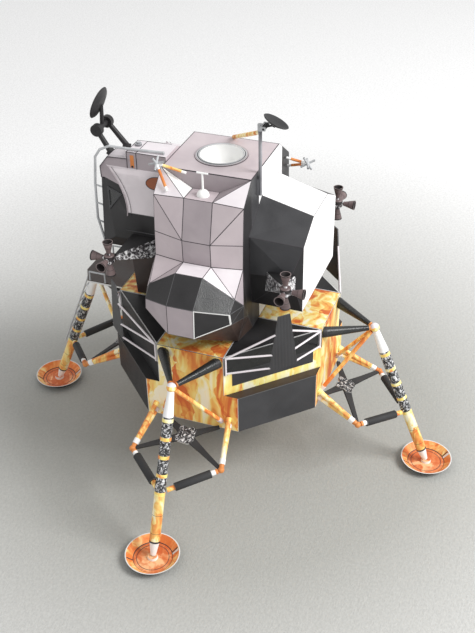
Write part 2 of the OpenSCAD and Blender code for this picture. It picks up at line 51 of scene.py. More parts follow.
def setCamera(values):
    data = bpy.data.cameras.new("benchCamera")
    data.sensor_width, data.lens, data.clip_start = 36, values["lens"], 0.01
    camera = bpy.data.objects.new("benchCamera", data)
    bpy.context.scene.collection.objects.link(camera)
    look = Vector(values["aim"]) - Vector(values["place"])
    turn = Quaternion(look.normalized(), math.radians(values["roll"])) @ look.to_track_quat("-Z", "Y")
    camera.location, camera.rotation_euler = values["place"], turn.to_euler()
    bpy.context.scene.camera = camera


def setLight(values):
    lamp = bpy.data.lights.new("windowLight", "AREA")
    lamp.shape, lamp.size, lamp.energy = "DISK", values["keySize"], values["keyPower"]
    holder = bpy.data.objects.new("windowLight", lamp)
    holder.location = values["keyAt"]
    holder.rotation_euler = (-Vector(values["keyAt"])).to_track_quat("-Z", "Y").to_euler()
    bpy.context.scene.collection.objects.link(holder)
    world = bpy.data.worlds.new("studioRoom")
    bpy.context.scene.world = world
    world.use_nodes = True
    nodes, links = world.node_tree.nodes, world.node_tree.links
    back = nodes["Background"]
    back.inputs["Color"].default_value = (1, 1, 1, 1)
    path = nodes.new("ShaderNodeLightPath")
    seen = nodes.new("ShaderNodeMath"); seen.operation = "MAXIMUM"
    through = nodes.new("ShaderNodeMath"); through.operation = "MAXIMUM"
    level = nodes.new("ShaderNodeMapRange")
    level.inputs["To Min"].default_value, level.inputs["To Max"].default_value = values["room"], 1.0
    links.new(path.outputs["Is Camera Ray"], seen.inputs[0])
    links.new(path.outputs["Is Glossy Ray"], seen.inputs[1])
    links.new(seen.outputs[0], through.inputs[0])
    links.new(path.outputs["Is Transmission Ray"], through.inputs[1])
    links.new(through.outputs[0], level.inputs["Value"])
    links.new(level.outputs["Result"], back.inputs["Strength"])


setCamera(benchView)
setLight(benchLight)
scene = bpy.context.scene
scene.view_settings.view_transform = "Standard"


# ---- shared shader groups ----
def linear(red, green, blue):
    return tuple(((c / 255 + 0.055) / 1.055) ** 2.4 if c > 10 else c / 3294.6 for c in (red, green, blue)) + (1.0,)


def newGroup(name, inputs, outputs):
    group = bpy.data.node_groups.new(name, "ShaderNodeTree")
    for label, value in inputs:
        group.interface.new_socket(label, in_out="INPUT", socket_type="NodeSocketFloat").default_value = value
    for label in outputs:
        group.interface.new_socket(label, in_out="OUTPUT", socket_type="NodeSocketFloat")
    return group, group.nodes.new("NodeGroupInput"), group.nodes.new("NodeGroupOutput")


def addMath(tree, operation, first, second):
    node = tree.nodes.new("ShaderNodeMath")
    node.operation = operation
    for slot, value in ((0, first), (1, second)):
        if isinstance(value, (int, float)):
            node.inputs[slot].default_value = value
        else:
            tree.links.new(value, node.inputs[slot])
    return node.outputs[0]


def addNoise(tree, vector, scale, detail, distortion=0.0):
    node = tree.nodes.new("ShaderNodeTexNoise")
    node.inputs["Detail"].default_value = detail
    node.inputs["Distortion"].default_value = distortion
    tree.links.new(vector, node.inputs["Vector"])
    if isinstance(scale, (int, float)):
        node.inputs["Scale"].default_value = scale
    else:
        tree.links.new(scale, node.inputs["Scale"])
    return node.outputs["Fac"]


def stretched(tree, source, scale, turn=(0, 0, 0)):
    mapping = tree.nodes.new("ShaderNodeMapping")
    mapping.inputs["Scale"].default_value = scale
    mapping.inputs["Rotation"].default_value = turn
    tree.links.new(source, mapping.inputs["Vector"])
    return mapping.outputs["Vector"]


def makePaperGrain():
    group, start, end = newGroup("paperGrain", [("Grain", 2400.0), ("Mottle", 90.0)], ["Height", "Mottling"])
    place = group.nodes.new("ShaderNodeTexCoord").outputs["Object"]
    fine = addNoise(group, place, start.outputs["Grain"], 3)
    broad = addNoise(group, place, start.outputs["Mottle"], 3, 0.4)
    height = addMath(group, "ADD", addMath(group, "MULTIPLY", fine, 0.35), addMath(group, "MULTIPLY", broad, 1.0))
    group.links.new(height, end.inputs["Height"])
    group.links.new(broad, end.inputs["Mottling"])
    return group


def makeFoilPrint():
    group, start, end = newGroup("foilPrint", [("Scale", 130.0)], ["Shade", "Height"])
    place = group.nodes.new("ShaderNodeTexCoord").outputs["Object"]
    bent = group.nodes.new("ShaderNodeVectorMath")
    bent.operation = "MULTIPLY_ADD"
    wobble = group.nodes.new("ShaderNodeTexNoise")
    wobble.inputs["Scale"].default_value, wobble.inputs["Detail"].default_value = 160.0, 2
    group.links.new(place, wobble.inputs["Vector"])
    group.links.new(wobble.outputs["Color"], bent.inputs[0])
    bent.inputs[1].default_value = (0.006, 0.006, 0.006)
    group.links.new(place, bent.inputs[2])
    shards = []
    for turn, share in (((0.5, 0.7, 0.3), 1.0), ((-0.7, 0.35, 0.9), 1.7)):
        cells = group.nodes.new("ShaderNodeTexVoronoi")
        group.links.new(stretched(group, bent.outputs[0], (1.0, 1.0, 0.36), turn), cells.inputs["Vector"])
        group.links.new(addMath(group, "MULTIPLY", start.outputs["Scale"], share), cells.inputs["Scale"])
        tone = group.nodes.new("ShaderNodeSeparateColor")
        group.links.new(cells.outputs["Color"], tone.inputs["Color"])
        shards.append(tone.outputs["Red"])
    fine = addNoise(group, stretched(group, place, (1, 1, 0.3), (-0.6, 0.4, 0.2)), addMath(group, "MULTIPLY", start.outputs["Scale"], 1.6), 2, 1.4)
    blend = addMath(group, "ADD", addMath(group, "MULTIPLY", shards[0], 0.20), addMath(group, "MULTIPLY", shards[1], 0.14))
    shade = addMath(group, "ADD", blend, addMath(group, "MULTIPLY", fine, 0.62))
    group.links.new(shade, end.inputs["Shade"])
    group.links.new(fine, end.inputs["Height"])
    return group


def makeCrumplePrint():
    group, start, end = newGroup("crumplePrint", [("Scale", 420.0)], ["Shade", "Height"])
    place = group.nodes.new("ShaderNodeTexCoord").outputs["Object"]
    wave = addNoise(group, place, start.outputs["Scale"], 3, 3.5)
    cells = group.nodes.new("ShaderNodeTexVoronoi")
    cells.feature = "DISTANCE_TO_EDGE"
    group.links.new(stretched(group, place, (1, 1, 0.55), (0.4, 0.3, 0.0)), cells.inputs["Vector"])
    group.links.new(addMath(group, "MULTIPLY", start.outputs["Scale"], 1.25), cells.inputs["Scale"])
    shade = addMath(group, "ADD", addMath(group, "MULTIPLY", wave, 0.85), addMath(group, "MULTIPLY", cells.outputs["Distance"], 0.35))
    group.links.new(shade, end.inputs["Shade"])
    group.links.new(cells.outputs["Distance"], end.inputs["Height"])
    return group


paperGrain, foilPrint, crumplePrint = makePaperGrain(), makeFoilPrint(), makeCrumplePrint()


# ---- finishes ----
finishes = {}


def newFinish(name, rough, metal=0.0, specular=0.4):
    material = bpy.data.materials.new(name)
    material.use_nodes = True
    shader = material.node_tree.nodes["Principled BSDF"]
    shader.inputs["Roughness"].default_value = rough
    shader.inputs["Metallic"].default_value = metal
    shader.inputs["Specular IOR Level"].default_value = specular
    finishes[name] = material
    return material, material.node_tree, shader


def addGroup(tree, group, **values):
    node = tree.nodes.new("ShaderNodeGroup")
    node.node_tree = group
    for label, value in values.items():
        node.inputs[label].default_value = value
    return node


def addBump(tree, shader, height, strength, distance):
    bump = tree.nodes.new("ShaderNodeBump")
    bump.inputs["Strength"].default_value = strength
    bump.inputs["Distance"].default_value = distance
    tree.links.new(height, bump.inputs["Height"])
    tree.links.new(bump.outputs["Normal"], shader.inputs["Normal"])


def addRange(tree, value, low, high, outLow, outHigh):
    node = tree.nodes.new("ShaderNodeMapRange")
    for label, number in (("From Min", low), ("From Max", high), ("To Min", outLow), ("To Max", outHigh)):
        node.inputs[label].default_value = number
    tree.links.new(value, node.inputs["Value"])
    return node.outputs["Result"]


def mixColours(tree, factor, first, second):
    node = tree.nodes.new("ShaderNodeMix")
    node.data_type = "RGBA"
    tree.links.new(factor, node.inputs["Factor"])
    for slot, value in ((6, first), (7, second)):
        if isinstance(value, tuple):
            node.inputs[slot].default_value = value
        else:
            tree.links.new(value, node.inputs[slot])
    return node.outputs[2]


def cardFinish(name, colour, shadow, rough=0.6, spread=0.12, bump=0.25, specular=0.4, mottle=90.0):
    material, tree, shader = newFinish(name, rough, 0.0, specular)
    grain = addGroup(tree, paperGrain, Mottle=mottle)
    blend = addRange(tree, grain.outputs["Mottling"], 0.3, 0.7, 0.0, 1.0)
    tree.links.new(mixColours(tree, blend, linear(*colour), linear(*shadow)), shader.inputs["Base Color"])
    tree.links.new(addRange(tree, grain.outputs["Mottling"], 0.3, 0.7, rough - spread, rough + spread), shader.inputs["Roughness"])
    addBump(tree, shader, grain.outputs["Height"], bump, 0.0004)
    return tree, shader


def rampFinish(name, group, scale, stops, rough, bump, metal=0.0, specular=0.4, constant=False):
    material, tree, shader = newFinish(name, rough, metal, specular)
    printed = addGroup(tree, group, Scale=scale)
    ramp = tree.nodes.new("ShaderNodeValToRGB")
    if constant:
        ramp.color_ramp.interpolation = "EASE"
    marks = ramp.color_ramp.elements
    while len(marks) < len(stops):
        marks.new(0.5)
    for mark, (place, colour) in zip(marks, stops):
        mark.position, mark.color = place, linear(*colour)
    tree.links.new(printed.outputs["Shade"], ramp.inputs["Fac"])
    tree.links.new(ramp.outputs["Color"], shader.inputs["Base Color"])
    tree.links.new(addRange(tree, printed.outputs["Shade"], 0.3, 0.7, rough + 0.1, rough - 0.08), shader.inputs["Roughness"])
    addBump(tree, shader, printed.outputs["Height"], bump, 0.0003)


cardFinish("lilacCard", (201, 189, 192), (189, 177, 181), 0.5, 0.08)
cardFinish("lilacShade", (175, 164, 168), (161, 151, 155), 0.5, 0.08)
# silvery lilac for the upper drum, painted lighter as the drum's highlight
cardFinish("silverHighlightCard", (222, 214, 217), (206, 198, 201), 0.34, 0.08, 0.2)
# whitish card for posts, balls and tube ends; also the lit copy of lilac, painted light on the tops and aft faces
cardFinish("brightCard", (236, 230, 233), (222, 214, 218), 0.5, 0.08)
cardFinish("whitePaper", (250, 250, 249), (240, 240, 238), 0.6, 0.08)
cardFinish("blackCard", (36, 35, 36), (47, 46, 47), 0.46, 0.1, 0.35, 0.3)
cardFinish("blackMatt", (40, 40, 41), (52, 52, 53), 0.7, 0.1, 0.3)
cardFinish("blackGloss", (32, 33, 34), (44, 45, 44), 0.24, 0.07, 0.5)
cardFinish("darkPanel", (54, 54, 56), (66, 66, 68), 0.48, 0.08, 0.3, 0.3)
cardFinish("brownCard", (52, 41, 37), (68, 54, 48), 0.45, 0.1, 0.4)
cardFinish("greyTube", (148, 148, 152), (112, 112, 116), 0.32, 0.1)
cardFinish("brightTube", (206, 208, 210), (168, 170, 172), 0.28, 0.1)
cardFinish("foldInk", (50, 47, 50), (64, 60, 64), 0.6, 0.05)
cardFinish("softInk", (112, 106, 112), (128, 122, 127), 0.6, 0.05)
cardFinish("cutEdge", (228, 228, 226), (206, 206, 204), 0.7, 0.05)
cardFinish("hazeEdge", (96, 96, 98), (80, 80, 82), 0.5, 0.05)
cardFinish("mauveCard", (96, 80, 80), (120, 104, 103), 0.45, 0.1, 0.4, mottle=260.0)
cardFinish("mauveDark", (38, 34, 35), (52, 46, 46), 0.55, 0.1)
cardFinish("mauveRim", (136, 122, 120), (112, 98, 98), 0.5, 0.1)
cardFinish("amberPaper", (224, 150, 84), (200, 112, 52), 0.5, 0.1)
# brown for the oval on the cabin drum: a painted reflection
cardFinish("rustPaper", (168, 98, 62), (138, 78, 50), 0.45, 0.1)
cardFinish("bellCard", (84, 80, 82), (62, 58, 60), 0.38, 0.1, 0.4, mottle=140.0)
rampFinish("foilCard", foilPrint, 105.0, [(0.35, (214, 108, 54)), (0.41, (232, 146, 70)), (0.46, (244, 184, 96)), (0.51, (249, 214, 122)),
           (0.57, (252, 234, 160)), (0.65, (254, 246, 218))], 0.42, 0.3)
rampFinish("foilBand", foilPrint, 120.0, [(0.33, (238, 146, 80)), (0.39, (248, 192, 104)), (0.45, (252, 226, 126)), (0.52, (253, 242, 158)),
           (0.61, (255, 250, 222))], 0.4, 0.25)
rampFinish("padFloor", foilPrint, 150.0, [(0.36, (200, 100, 52)), (0.46, (212, 122, 72)), (0.54, (222, 146, 98)), (0.64, (240, 186, 136))], 0.5, 0.25)
rampFinish("padWall", foilPrint, 150.0, [(0.36, (226, 124, 60)), (0.46, (240, 156, 88)), (0.54, (247, 190, 116)), (0.64, (252, 226, 160))], 0.45, 0.25)
rampFinish("foilTube", foilPrint, 150.0, [(0.33, (222, 124, 60)), (0.41, (238, 160, 84)), (0.48, (247, 198, 114)), (0.55, (251, 226, 146)),
           (0.64, (255, 246, 214))], 0.42, 0.25)
rampFinish("silverPrint", crumplePrint, 520.0, [(0.40, (28, 28, 30)), (0.47, (52, 52, 54)), (0.53, (150, 150, 152)),
           (0.60, (236, 236, 236))], 0.4, 0.6, 0.0, 0.5, True)
rampFinish("silverFoil", crumplePrint, 380.0, [(0.38, (38, 36, 38)), (0.45, (96, 92, 94)), (0.52, (196, 194, 196)),
           (0.58, (248, 248, 248))], 0.3, 0.7, 0.0, 0.5, True)


def ribbedFinish():  # bare paper with faint ruled lines that run up it
    tree, shader = cardFinish("ruledPaper", (249, 249, 248), (241, 241, 240), 0.6, 0.06)
    place = tree.nodes.new("ShaderNodeTexCoord").outputs["Object"]
    split = tree.nodes.new("ShaderNodeSeparateXYZ")
    tree.links.new(place, split.inputs["Vector"])
    phase = addMath(tree, "FRACT", addMath(tree, "MULTIPLY", split.outputs["X"], 430.0), 0.0)
    line = addRange(tree, addMath(tree, "ABSOLUTE", addMath(tree, "SUBTRACT", phase, 0.5), 0.0), 0.02, 0.07, 0.30, 0.0)
    base = shader.inputs["Base Color"].links[0].from_socket
    tree.links.new(mixColours(tree, line, base, linear(188, 180, 186)), shader.inputs["Base Color"])


def flutedFinish():  # black card scored from top to bottom
    tree, shader = cardFinish("scoredBlack", (46, 46, 48), (56, 56, 58), 0.42, 0.08)
    place = tree.nodes.new("ShaderNodeTexCoord").outputs["Object"]
    split = tree.nodes.new("ShaderNodeSeparateXYZ")
    tree.links.new(place, split.inputs["Vector"])
    across = addMath(tree, "ADD", split.outputs["X"], addMath(tree, "MULTIPLY", split.outputs["Y"], -1.0))
    ridge = addMath(tree, "SINE", addMath(tree, "MULTIPLY", across, 7200.0), 0.0)
    addBump(tree, shader, ridge, 0.35, 0.0002)


ribbedFinish()
flutedFinish()
print("finishes made")


# ---- mesh helpers ----
def newSheet():
    return {"points": [], "faces": [], "finish": [], "smooth": [], "names": []}


def finishIndex(sheet, name):
    if name not in sheet["names"]:
        sheet["names"].append(name)
    return sheet["names"].index(name)


def addFace(sheet, points, finish, smooth=False):
    start = len(sheet["points"])
    sheet["points"] += [tuple(p) for p in points]
    sheet["faces"].append(list(range(start, start + len(points))))
    sheet["finish"].append(finishIndex(sheet, finish))
    sheet["smooth"].append(smooth)


def faceNormal(points):
    normal = Vector((0, 0, 0))
    for p, q in zip(points, points[1:] + points[:1]):
        normal += Vector(p).cross(Vector(q))
    return normal.normalized()


def addTurned(sheet, start, toward, profile, finish, sides=28):
    start, toward = Vector(start), Vector(toward)
    axis = (toward - start).normalized()
    side = axis.orthogonal().normalized()
    other = axis.cross(side)
    spokes = [side * math.cos(t) + other * math.sin(t) for t in (2 * math.pi * k / sides for k in range(sides))]
    ringOf, last, lastDirection = None, None, None
    for (s0, r0), (s1, r1), name in zip(profile, profile[1:], finish):
        direction = math.atan2(r1 - r0, s1 - s0)
        bend = None if lastDirection is None else abs((direction - lastDirection + math.pi) % (2 * math.pi) - math.pi)
        if ringOf is None or bend > 0.6:
            ringOf = len(sheet["points"])
            sheet["points"] += [tuple(start + axis * s0 + spoke * r0) for spoke in spokes]
        nextRing = len(sheet["points"])
        sheet["points"] += [tuple(start + axis * s1 + spoke * r1) for spoke in spokes]
        index = finishIndex(sheet, name)
        for k in range(sides):
            m = (k + 1) % sides
            sheet["faces"].append([ringOf + k, ringOf + m, nextRing + m, nextRing + k])
            sheet["finish"].append(index)
            sheet["smooth"].append(True)
        ringOf, lastDirection = nextRing, direction


def addRod(sheet, start, end, r0, r1, finish, sides=20, ends=None):
    length = (Vector(end) - Vector(start)).length
    ends = ends or finish
    addTurned(sheet, start, end, [(0, 0), (0, r0), (length, r1), (length, 0)], [ends, finish, ends], sides)


def addBall(sheet, centre, radius, finish, toward=(0, 0, 1), rings=10, sides=24):
    centre = Vector(centre)
    profile = [(-radius * math.cos(math.pi * k / rings), radius * math.sin(math.pi * k / rings)) for k in range(rings + 1)]
    names = finish if isinstance(finish, list) else [finish] * rings
    addTurned(sheet, centre, centre + Vector(toward), profile, names, sides)


def addPlate(sheet, points, through, finish, edge="cutEdge"):
    points, through = [Vector(p) for p in points], Vector(through)
    top = [p + through for p in points]
    if faceNormal(points).dot(through) > 0:
        addFace(sheet, points[::-1], finish); addFace(sheet, top, finish)
    else:
        addFace(sheet, points, finish); addFace(sheet, top[::-1], finish)
    for p, q, qt, pt in zip(points, points[1:] + points[:1], top[1:] + top[:1], top):
        addFace(sheet, [p, q, qt, pt], edge)


def addLine(sheet, start, end, normal, width, finish, lift=0.06):
    start, end, normal = Vector(start), Vector(end), Vector(normal).normalized()
    side = (end - start).cross(normal).normalized() * width / 2
    up = normal * lift
    addFace(sheet, [start - side + up, end - side + up, end + side + up, start + side + up], finish)


def inset(points, widths):
    normal = faceNormal(points)
    count = len(points)
    inner = []
    for k in range(count):
        back = (Vector(points[k]) - Vector(points[k - 1])).normalized()
        ahead = (Vector(points[(k + 1) % count]) - Vector(points[k])).normalized()
        m0, m1 = normal.cross(back), normal.cross(ahead)
        w0, w1 = widths[k - 1], widths[k]
        c = m0.dot(m1)
        if 1 - c * c < 1e-4:
            shift = m0 * max(w0, w1)
        else:
            shift = m0 * ((w0 - c * w1) / (1 - c * c)) + m1 * ((w1 - c * w0) / (1 - c * c))
        inner.append(Vector(points[k]) + shift)
    return inner


def addPanel(sheet, points, finish, ink="foldInk", width=0.2, edges=None):
    # a flat panel with a printed line along each edge; edges may set a (width, finish) pair of its own
    points = [Vector(p) for p in points]
    pairs = [(edges or {}).get(k, (width, ink)) for k in range(len(points))]
    inner = inset(points, [p[0] for p in pairs])
    for k, (w, name) in enumerate(pairs):
        m = (k + 1) % len(points)
        if w > 0:
            addFace(sheet, [points[k], points[m], inner[m], inner[k]], name)
    addFace(sheet, inner, finish)


def makePiece(name, sheet, body, nodes):
    mesh = bpy.data.meshes.new(name)
    mesh.from_pydata([Vector(p) * mm for p in sheet["points"]], [], sheet["faces"])
    for label in sheet["names"]:
        mesh.materials.append(finishes[label])
    mesh.polygons.foreach_set("material_index", sheet["finish"])
    mesh.polygons.foreach_set("use_smooth", sheet["smooth"])
    mesh.update()
    piece = bpy.data.objects.new(name, mesh)
    bpy.context.scene.collection.objects.link(piece)
    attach(piece, body)
    if nodes:
        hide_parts(*nodes)
    return piece


def coatNode(node, names):
    # a CAD node kept as it is, with its finish
    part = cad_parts[node]
    part.data.materials.clear()
    for label in names:
        part.data.materials.append(finishes[label])


def copyNode(node, name, body, names, rule, cuts=()):
    # a copy of a CAD node whose faces take their finish from rule(centre, normal), both in millimetres
    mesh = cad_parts[node].data.copy()
    mesh.materials.clear()
    for label in names:
        mesh.materials.append(finishes[label])
    work = bmesh.new()
    work.from_mesh(mesh)
    bmesh.ops.remove_doubles(work, verts=work.verts, dist=1e-6)
    for place, normal in cuts:
        bmesh.ops.bisect_plane(work, geom=work.verts[:] + work.edges[:] + work.faces[:], dist=1e-7,
                               plane_co=Vector(place) * mm, plane_no=normal)
    for face in work.faces:
        face.material_index = names.index(rule(face.calc_center_median() / mm, face.normal))
        face.smooth = True
    work.to_mesh(mesh)
    work.free()
    mesh.set_sharp_from_angle(angle=math.radians(28))
    mesh.name = name
    piece = bpy.data.objects.new(name, mesh)
    bpy.context.scene.collection.objects.link(piece)
    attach(piece, body)
    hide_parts(node)
    return piece


def turned(point, turn):
    x, y, z = point
    t = math.radians(turn)
    return Vector((x * math.cos(t) - y * math.sin(t), x * math.sin(t) + y * math.cos(t), z))


sides = {"front": 270, "port": 0, "aft": 90, "starboard": 180}

# ---- descent stage ----
descentHull = {"reach": 44, "face": 13.8, "foot": 19.6, "low": 33.5, "ledge": 50.4, "band": 3.5, "bandTop": 60.2, "well": 12}
low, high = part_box("descent_deck")
descentHull["deck"] = high.z / mm
descentHull["reach"] = high.x / mm


def buildHull(v):
    sheet = newSheet()
    r, f, w, z0, z1, z3, b, z2 = v["reach"], v["face"], v["foot"], v["low"], v["ledge"], v["deck"], v["band"], v["bandTop"]
    for name, turn in sides.items():
        put = lambda *p: [turned(q, turn) for q in p]
        addPanel(sheet, put((r, -f, z1), (r, f, z1), (r, f, z3), (r, -f, z3)), "foilCard", edges={
            0: (0, "foldInk"), 1: (0.2, "cutEdge"), 2: (0.25, "foldInk"), 3: (0.2, "cutEdge")})
        addPanel(sheet, put((r, -w, z0), (r, w, z0), (r, w, z1), (r, -w, z1)), "foilCard", edges={
            0: (0.15, "cutEdge"), 1: (0.22, "cutEdge"), 2: (0, "foldInk"), 3: (0.22, "cutEdge")})
        bare = name == "front"  # the bay between the front and port legs has no foil band
        wall = lambda u, z: turned((r + (f - r) * u, f + (r - f) * u, z), turn)
        t = b / (math.sqrt(2) * (r - f))
        if bare:
            addPanel(sheet, [wall(0, z1), wall(1, z1), wall(1, z3), wall(0, z3)], "blackCard", edges={
                0: (0, "foldInk"), 1: (0.2, "hazeEdge"), 2: (0.2, "hazeEdge"), 3: (0.2, "hazeEdge")})
        else:
            addPanel(sheet, [wall(0, z1), wall(1, z1), wall(1, z1 + b), wall(0, z1 + b)], "foilBand", width=0)
            addPanel(sheet, [wall(0, z1 + b), wall(t, z1 + b), wall(t, z2), wall(0, z2)], "foilBand", width=0)
            addPanel(sheet, [wall(1 - t, z1 + b), wall(1, z1 + b), wall(1, z2), wall(1 - t, z2)], "foilBand", width=0)
            addPanel(sheet, [wall(t, z1 + b), wall(1 - t, z1 + b), wall(1 - t, z2), wall(t, z2)], "darkPanel", width=0)
            addPanel(sheet, [wall(0, z2), wall(1, z2), wall(1, z3), wall(0, z3)], "blackGloss", edges={
                0: (0, "foldInk"), 1: (0.3, "cutEdge"), 2: (0.3, "hazeEdge"), 3: (0.3, "cutEdge")})
        addPanel(sheet, put((r, f, z1), (r, w, z1), (w, r, z1), (f, r, z1)), "blackCard" if bare else "brownCard", width=0)
        addPanel(sheet, put((r, w, z0), (w, r, z0), (w, r, z1), (r, w, z1)), "blackCard" if bare else "darkPanel", edges={
            0: (0.2, "foldInk"), 1: (0.15, "hazeEdge"), 2: (0.35, "hazeEdge"), 3: (0.15, "hazeEdge")})
        addPanel(sheet, put((f, f, z3), (f, -f, z3), (r, -f, z3), (r, f, z3)), "foilCard", edges={
            0: (0, "foldInk"), 1: (0.2, "softInk"), 2: (0.15, "cutEdge"), 3: (0.2, "softInk")})
        addPanel(sheet, put((f, f, z3), (r, f, z3), (f, r, z3)), "blackCard", edges={
            0: (0.3, "cutEdge"), 1: (0.45, "cutEdge"), 2: (0.3, "cutEdge")})
        hoop = [turned((v["well"] * math.cos(math.radians(a)), v["well"] * math.sin(math.radians(a)), z0), turn) for a in range(-45, 46, 9)]
        rim = [turned(q, turn) for q in [(w, -r, z0), (r, -w, z0), (r, w, z0), (w, r, z0)]]
        addFace(sheet, [rim[1], rim[2], hoop[10], hoop[7], hoop[5], hoop[3], hoop[0]][::-1], "foilCard")
        addFace(sheet, [rim[2], rim[3], hoop[10]][::-1], "blackCard")
        for a, c in zip(hoop, hoop[1:]):
            addFace(sheet, [a, c, c + Vector((0, 0, 12.5)), a + Vector((0, 0, 12.5))], "blackMatt")
    addTurned(sheet, (0, 0, z0 + 12.5), (0, 0, 0), [(0, 0), (0, v["well"])], ["blackMatt"], 40)
    addPanel(sheet, [(-f, -f, z3), (f, -f, z3), (f, f, z3), (-f, f, z3)], "foilCard", width=0)
    makePiece("descentHull", sheet, "descent_stage", ["descent_core", "quadrant_bays", "descent_deck", "base_shield"])


deflectors = {"out": 49.4, "low": 63.2, "high": 87.4, "base": 6.1, "tip": 2.5, "thick": 0.5, "post": 0.4}


def buildDeflectors(v):
    sheet = newSheet()
    r, f, deck = descentHull["reach"], descentHull["face"], descentHull["deck"]
    postU, postW = (r - f) / math.sqrt(2) - 0.8, (r + f) / math.sqrt(2) + 0.4
    for turn in (45, 135, 225, 315):
        at = lambda x, y, z: turned((x, y, z), turn)
        outline = [at(v["out"] - 0.25, y, z) for y, z in
                   ((-v["base"], v["low"]), (v["base"], v["low"]), (v["tip"], v["high"]), (-v["tip"], v["high"]))]
        addPlate(sheet, outline, at(v["thick"], 0, 0), "scoredBlack", "hazeEdge")
        for s in (-1, 1):
            top, foot = at(postW, s * postU, deck - 0.4), at(postW, s * postU, deck - 7.6)
            strip = [at(postW - 0.3, s * (postU + g), z) for g, z in ((-0.8, deck - 8.4), (0.8, deck - 8.4), (0.8, deck), (-0.8, deck))]
            addPlate(sheet, strip, at(0.3, 0, 0), "blackCard", "cutEdge")
            addRod(sheet, foot - Vector((0, 0, 0.8)), top + Vector((0, 0, 0.4)), v["post"], v["post"], "brightCard", 10)
            for start, end in ((top, (v["out"], s * 3.4, 79.5)), (top, (v["out"], s * 4.7, 70.5)), (foot, (v["out"], s * 5.6, 64.6))):
                addRod(sheet, start, at(*end), v["post"], v["post"], "brightCard", 10)
    makePiece("plumeDeflectors", sheet, "descent_stage", ["plume_deflectors"])


descentBell = {"rings": (14.5, 18.0, 22.5, 28.0, 33.0)}


def buildDescentBell(v):
    sheet = newSheet()
    outer = [(12, 14.5), (12.6, 14.26), (12.8, 14.18), (17, 12.5), (17.2, 12.42), (21, 10.9), (27, 9.15), (27.2, 9.1), (33, 7.5), (39, 6.6), (46, 4)]
    names = ["cutEdge", "foldInk", "bellCard", "foldInk", "bellCard", "bellCard", "foldInk", "bellCard", "bellCard", "bellCard"]
    addTurned(sheet, (0, 0, 0), (0, 0, 1), outer, names, 48)
    addTurned(sheet, (0, 0, 0), (0, 0, 1), [(12, 14.5), (12, 14), (21, 10.4), (39, 6.1), (39, 0)], ["cutEdge", "bellCard", "mauveDark", "mauveDark"], 48)
    makePiece("descentBell", sheet, "descent_stage", ["descent_engine_bell"])


buildHull(descentHull)
buildDeflectors(deflectors)
buildDescentBell(descentBell)
print("descent stage made")

# ---- landing legs ----
leg = {"apex": (62.2, 0, 64.8), "pad": 88.8, "strut": 2.1, "forkDown": 42.37, "ringStep": 7.4, "rings": 5, "knee": (62.05, 18.9, 28.7),
       "fork": (78.4, 0, 25.65), "sleeve": 1.65, "tube": 1.0, "rigger": 2.25, "hip": 15.6, "hipUp": (36.2, 39.6)}
low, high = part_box("port_footpad")
leg["pad"] = (low.x + high.x) / 2 / mm


def buildStrut(turn, v, node):
    sheet = newSheet()
    apex = Vector(v["apex"])
    lean = (v["pad"] - apex.x) / (apex.z - 0.5)
    foot = Vector((apex.x + lean * (apex.z - 1.62), 0, 1.62))
    length = (foot - apex).length
    r, fork = v["strut"], v["forkDown"]
    profile, names = [(1.2, 0), (1.2, 1.25), (11.4, r - 0.02), (11.4, r)], ["whitePaper", "whitePaper", "foldInk"]
    rings = [fork - v["ringStep"] * k for k in range(v["rings"] - 1, -1, -1)]
    for s in rings:  # a foil ring wrapped round the printed tube
        profile += [(s - 0.7, r), (s - 0.7, r + 0.05), (s + 0.7, r + 0.05), (s + 0.7, r)]
        names += ["silverPrint", "cutEdge", "foilBand", "foldInk"]
    for s in (fork + 8.9, fork + 16.5):
        profile += [(s, r), (s + 0.14, r)]
        names += ["foilTube", "foldInk"]
    profile += [(length - 6.2, r), (length - 5.9, r + 0.04), (length - 5.5, r + 0.04), (length - 5.5, r - 0.15), (length, 1.1)]
    names += ["foilTube", "foldInk", "mauveDark", "foldInk", "whitePaper"]
    addTurned(sheet, turned(apex, turn), turned(foot, turn), profile, names, 36)
    addBall(sheet, turned(apex, turn), 1.9, ["brightCard"] * 4 + ["foilBand"] * 3 + ["amberPaper"] * 3, turned((0.38, 0, -0.92), turn))
    makePiece(node.split("_")[0] + "MainStrut", sheet, "descent_stage", [node])


def buildPad(turn, v, node):
    sheet = newSheet()
    at = turned((v["pad"], 0, 0), turn)
    profile = [(1.62, 0), (1.6, 1.9), (0.5, 2.1), (0.5, 6.2), (0.5, 6.45), (0.5, 7.6), (0.75, 7.85), (2.98, 10.32), (3.0, 10.75), (0.0, 7.9), (0, 0)]
    names = ["padFloor", "whitePaper", "padFloor", "foldInk", "padFloor", "foldInk", "padWall", "cutEdge", "blackMatt", "blackMatt"]
    addTurned(sheet, at, at + Vector((0, 0, 1)), profile, names, 56)
    for turnTo, wide, name in ((118, 0.10, "cutEdge"), (126, 0.05, "foldInk"), (300, 0.05, "foldInk")):  # glued tabs of the wall
        a0, a1 = math.radians(turnTo), math.radians(turnTo) + wide
        quad = [at + Vector((rr * math.cos(a), rr * math.sin(a), z)) for rr, z, a in ((7.75, 0.82, a0), (10.15, 2.94, a0), (10.15, 2.94, a1), (7.75, 0.82, a1))]
        addFace(sheet, quad, name)
    makePiece(node.split("_")[0] + "Pad", sheet, "descent_stage", [node])


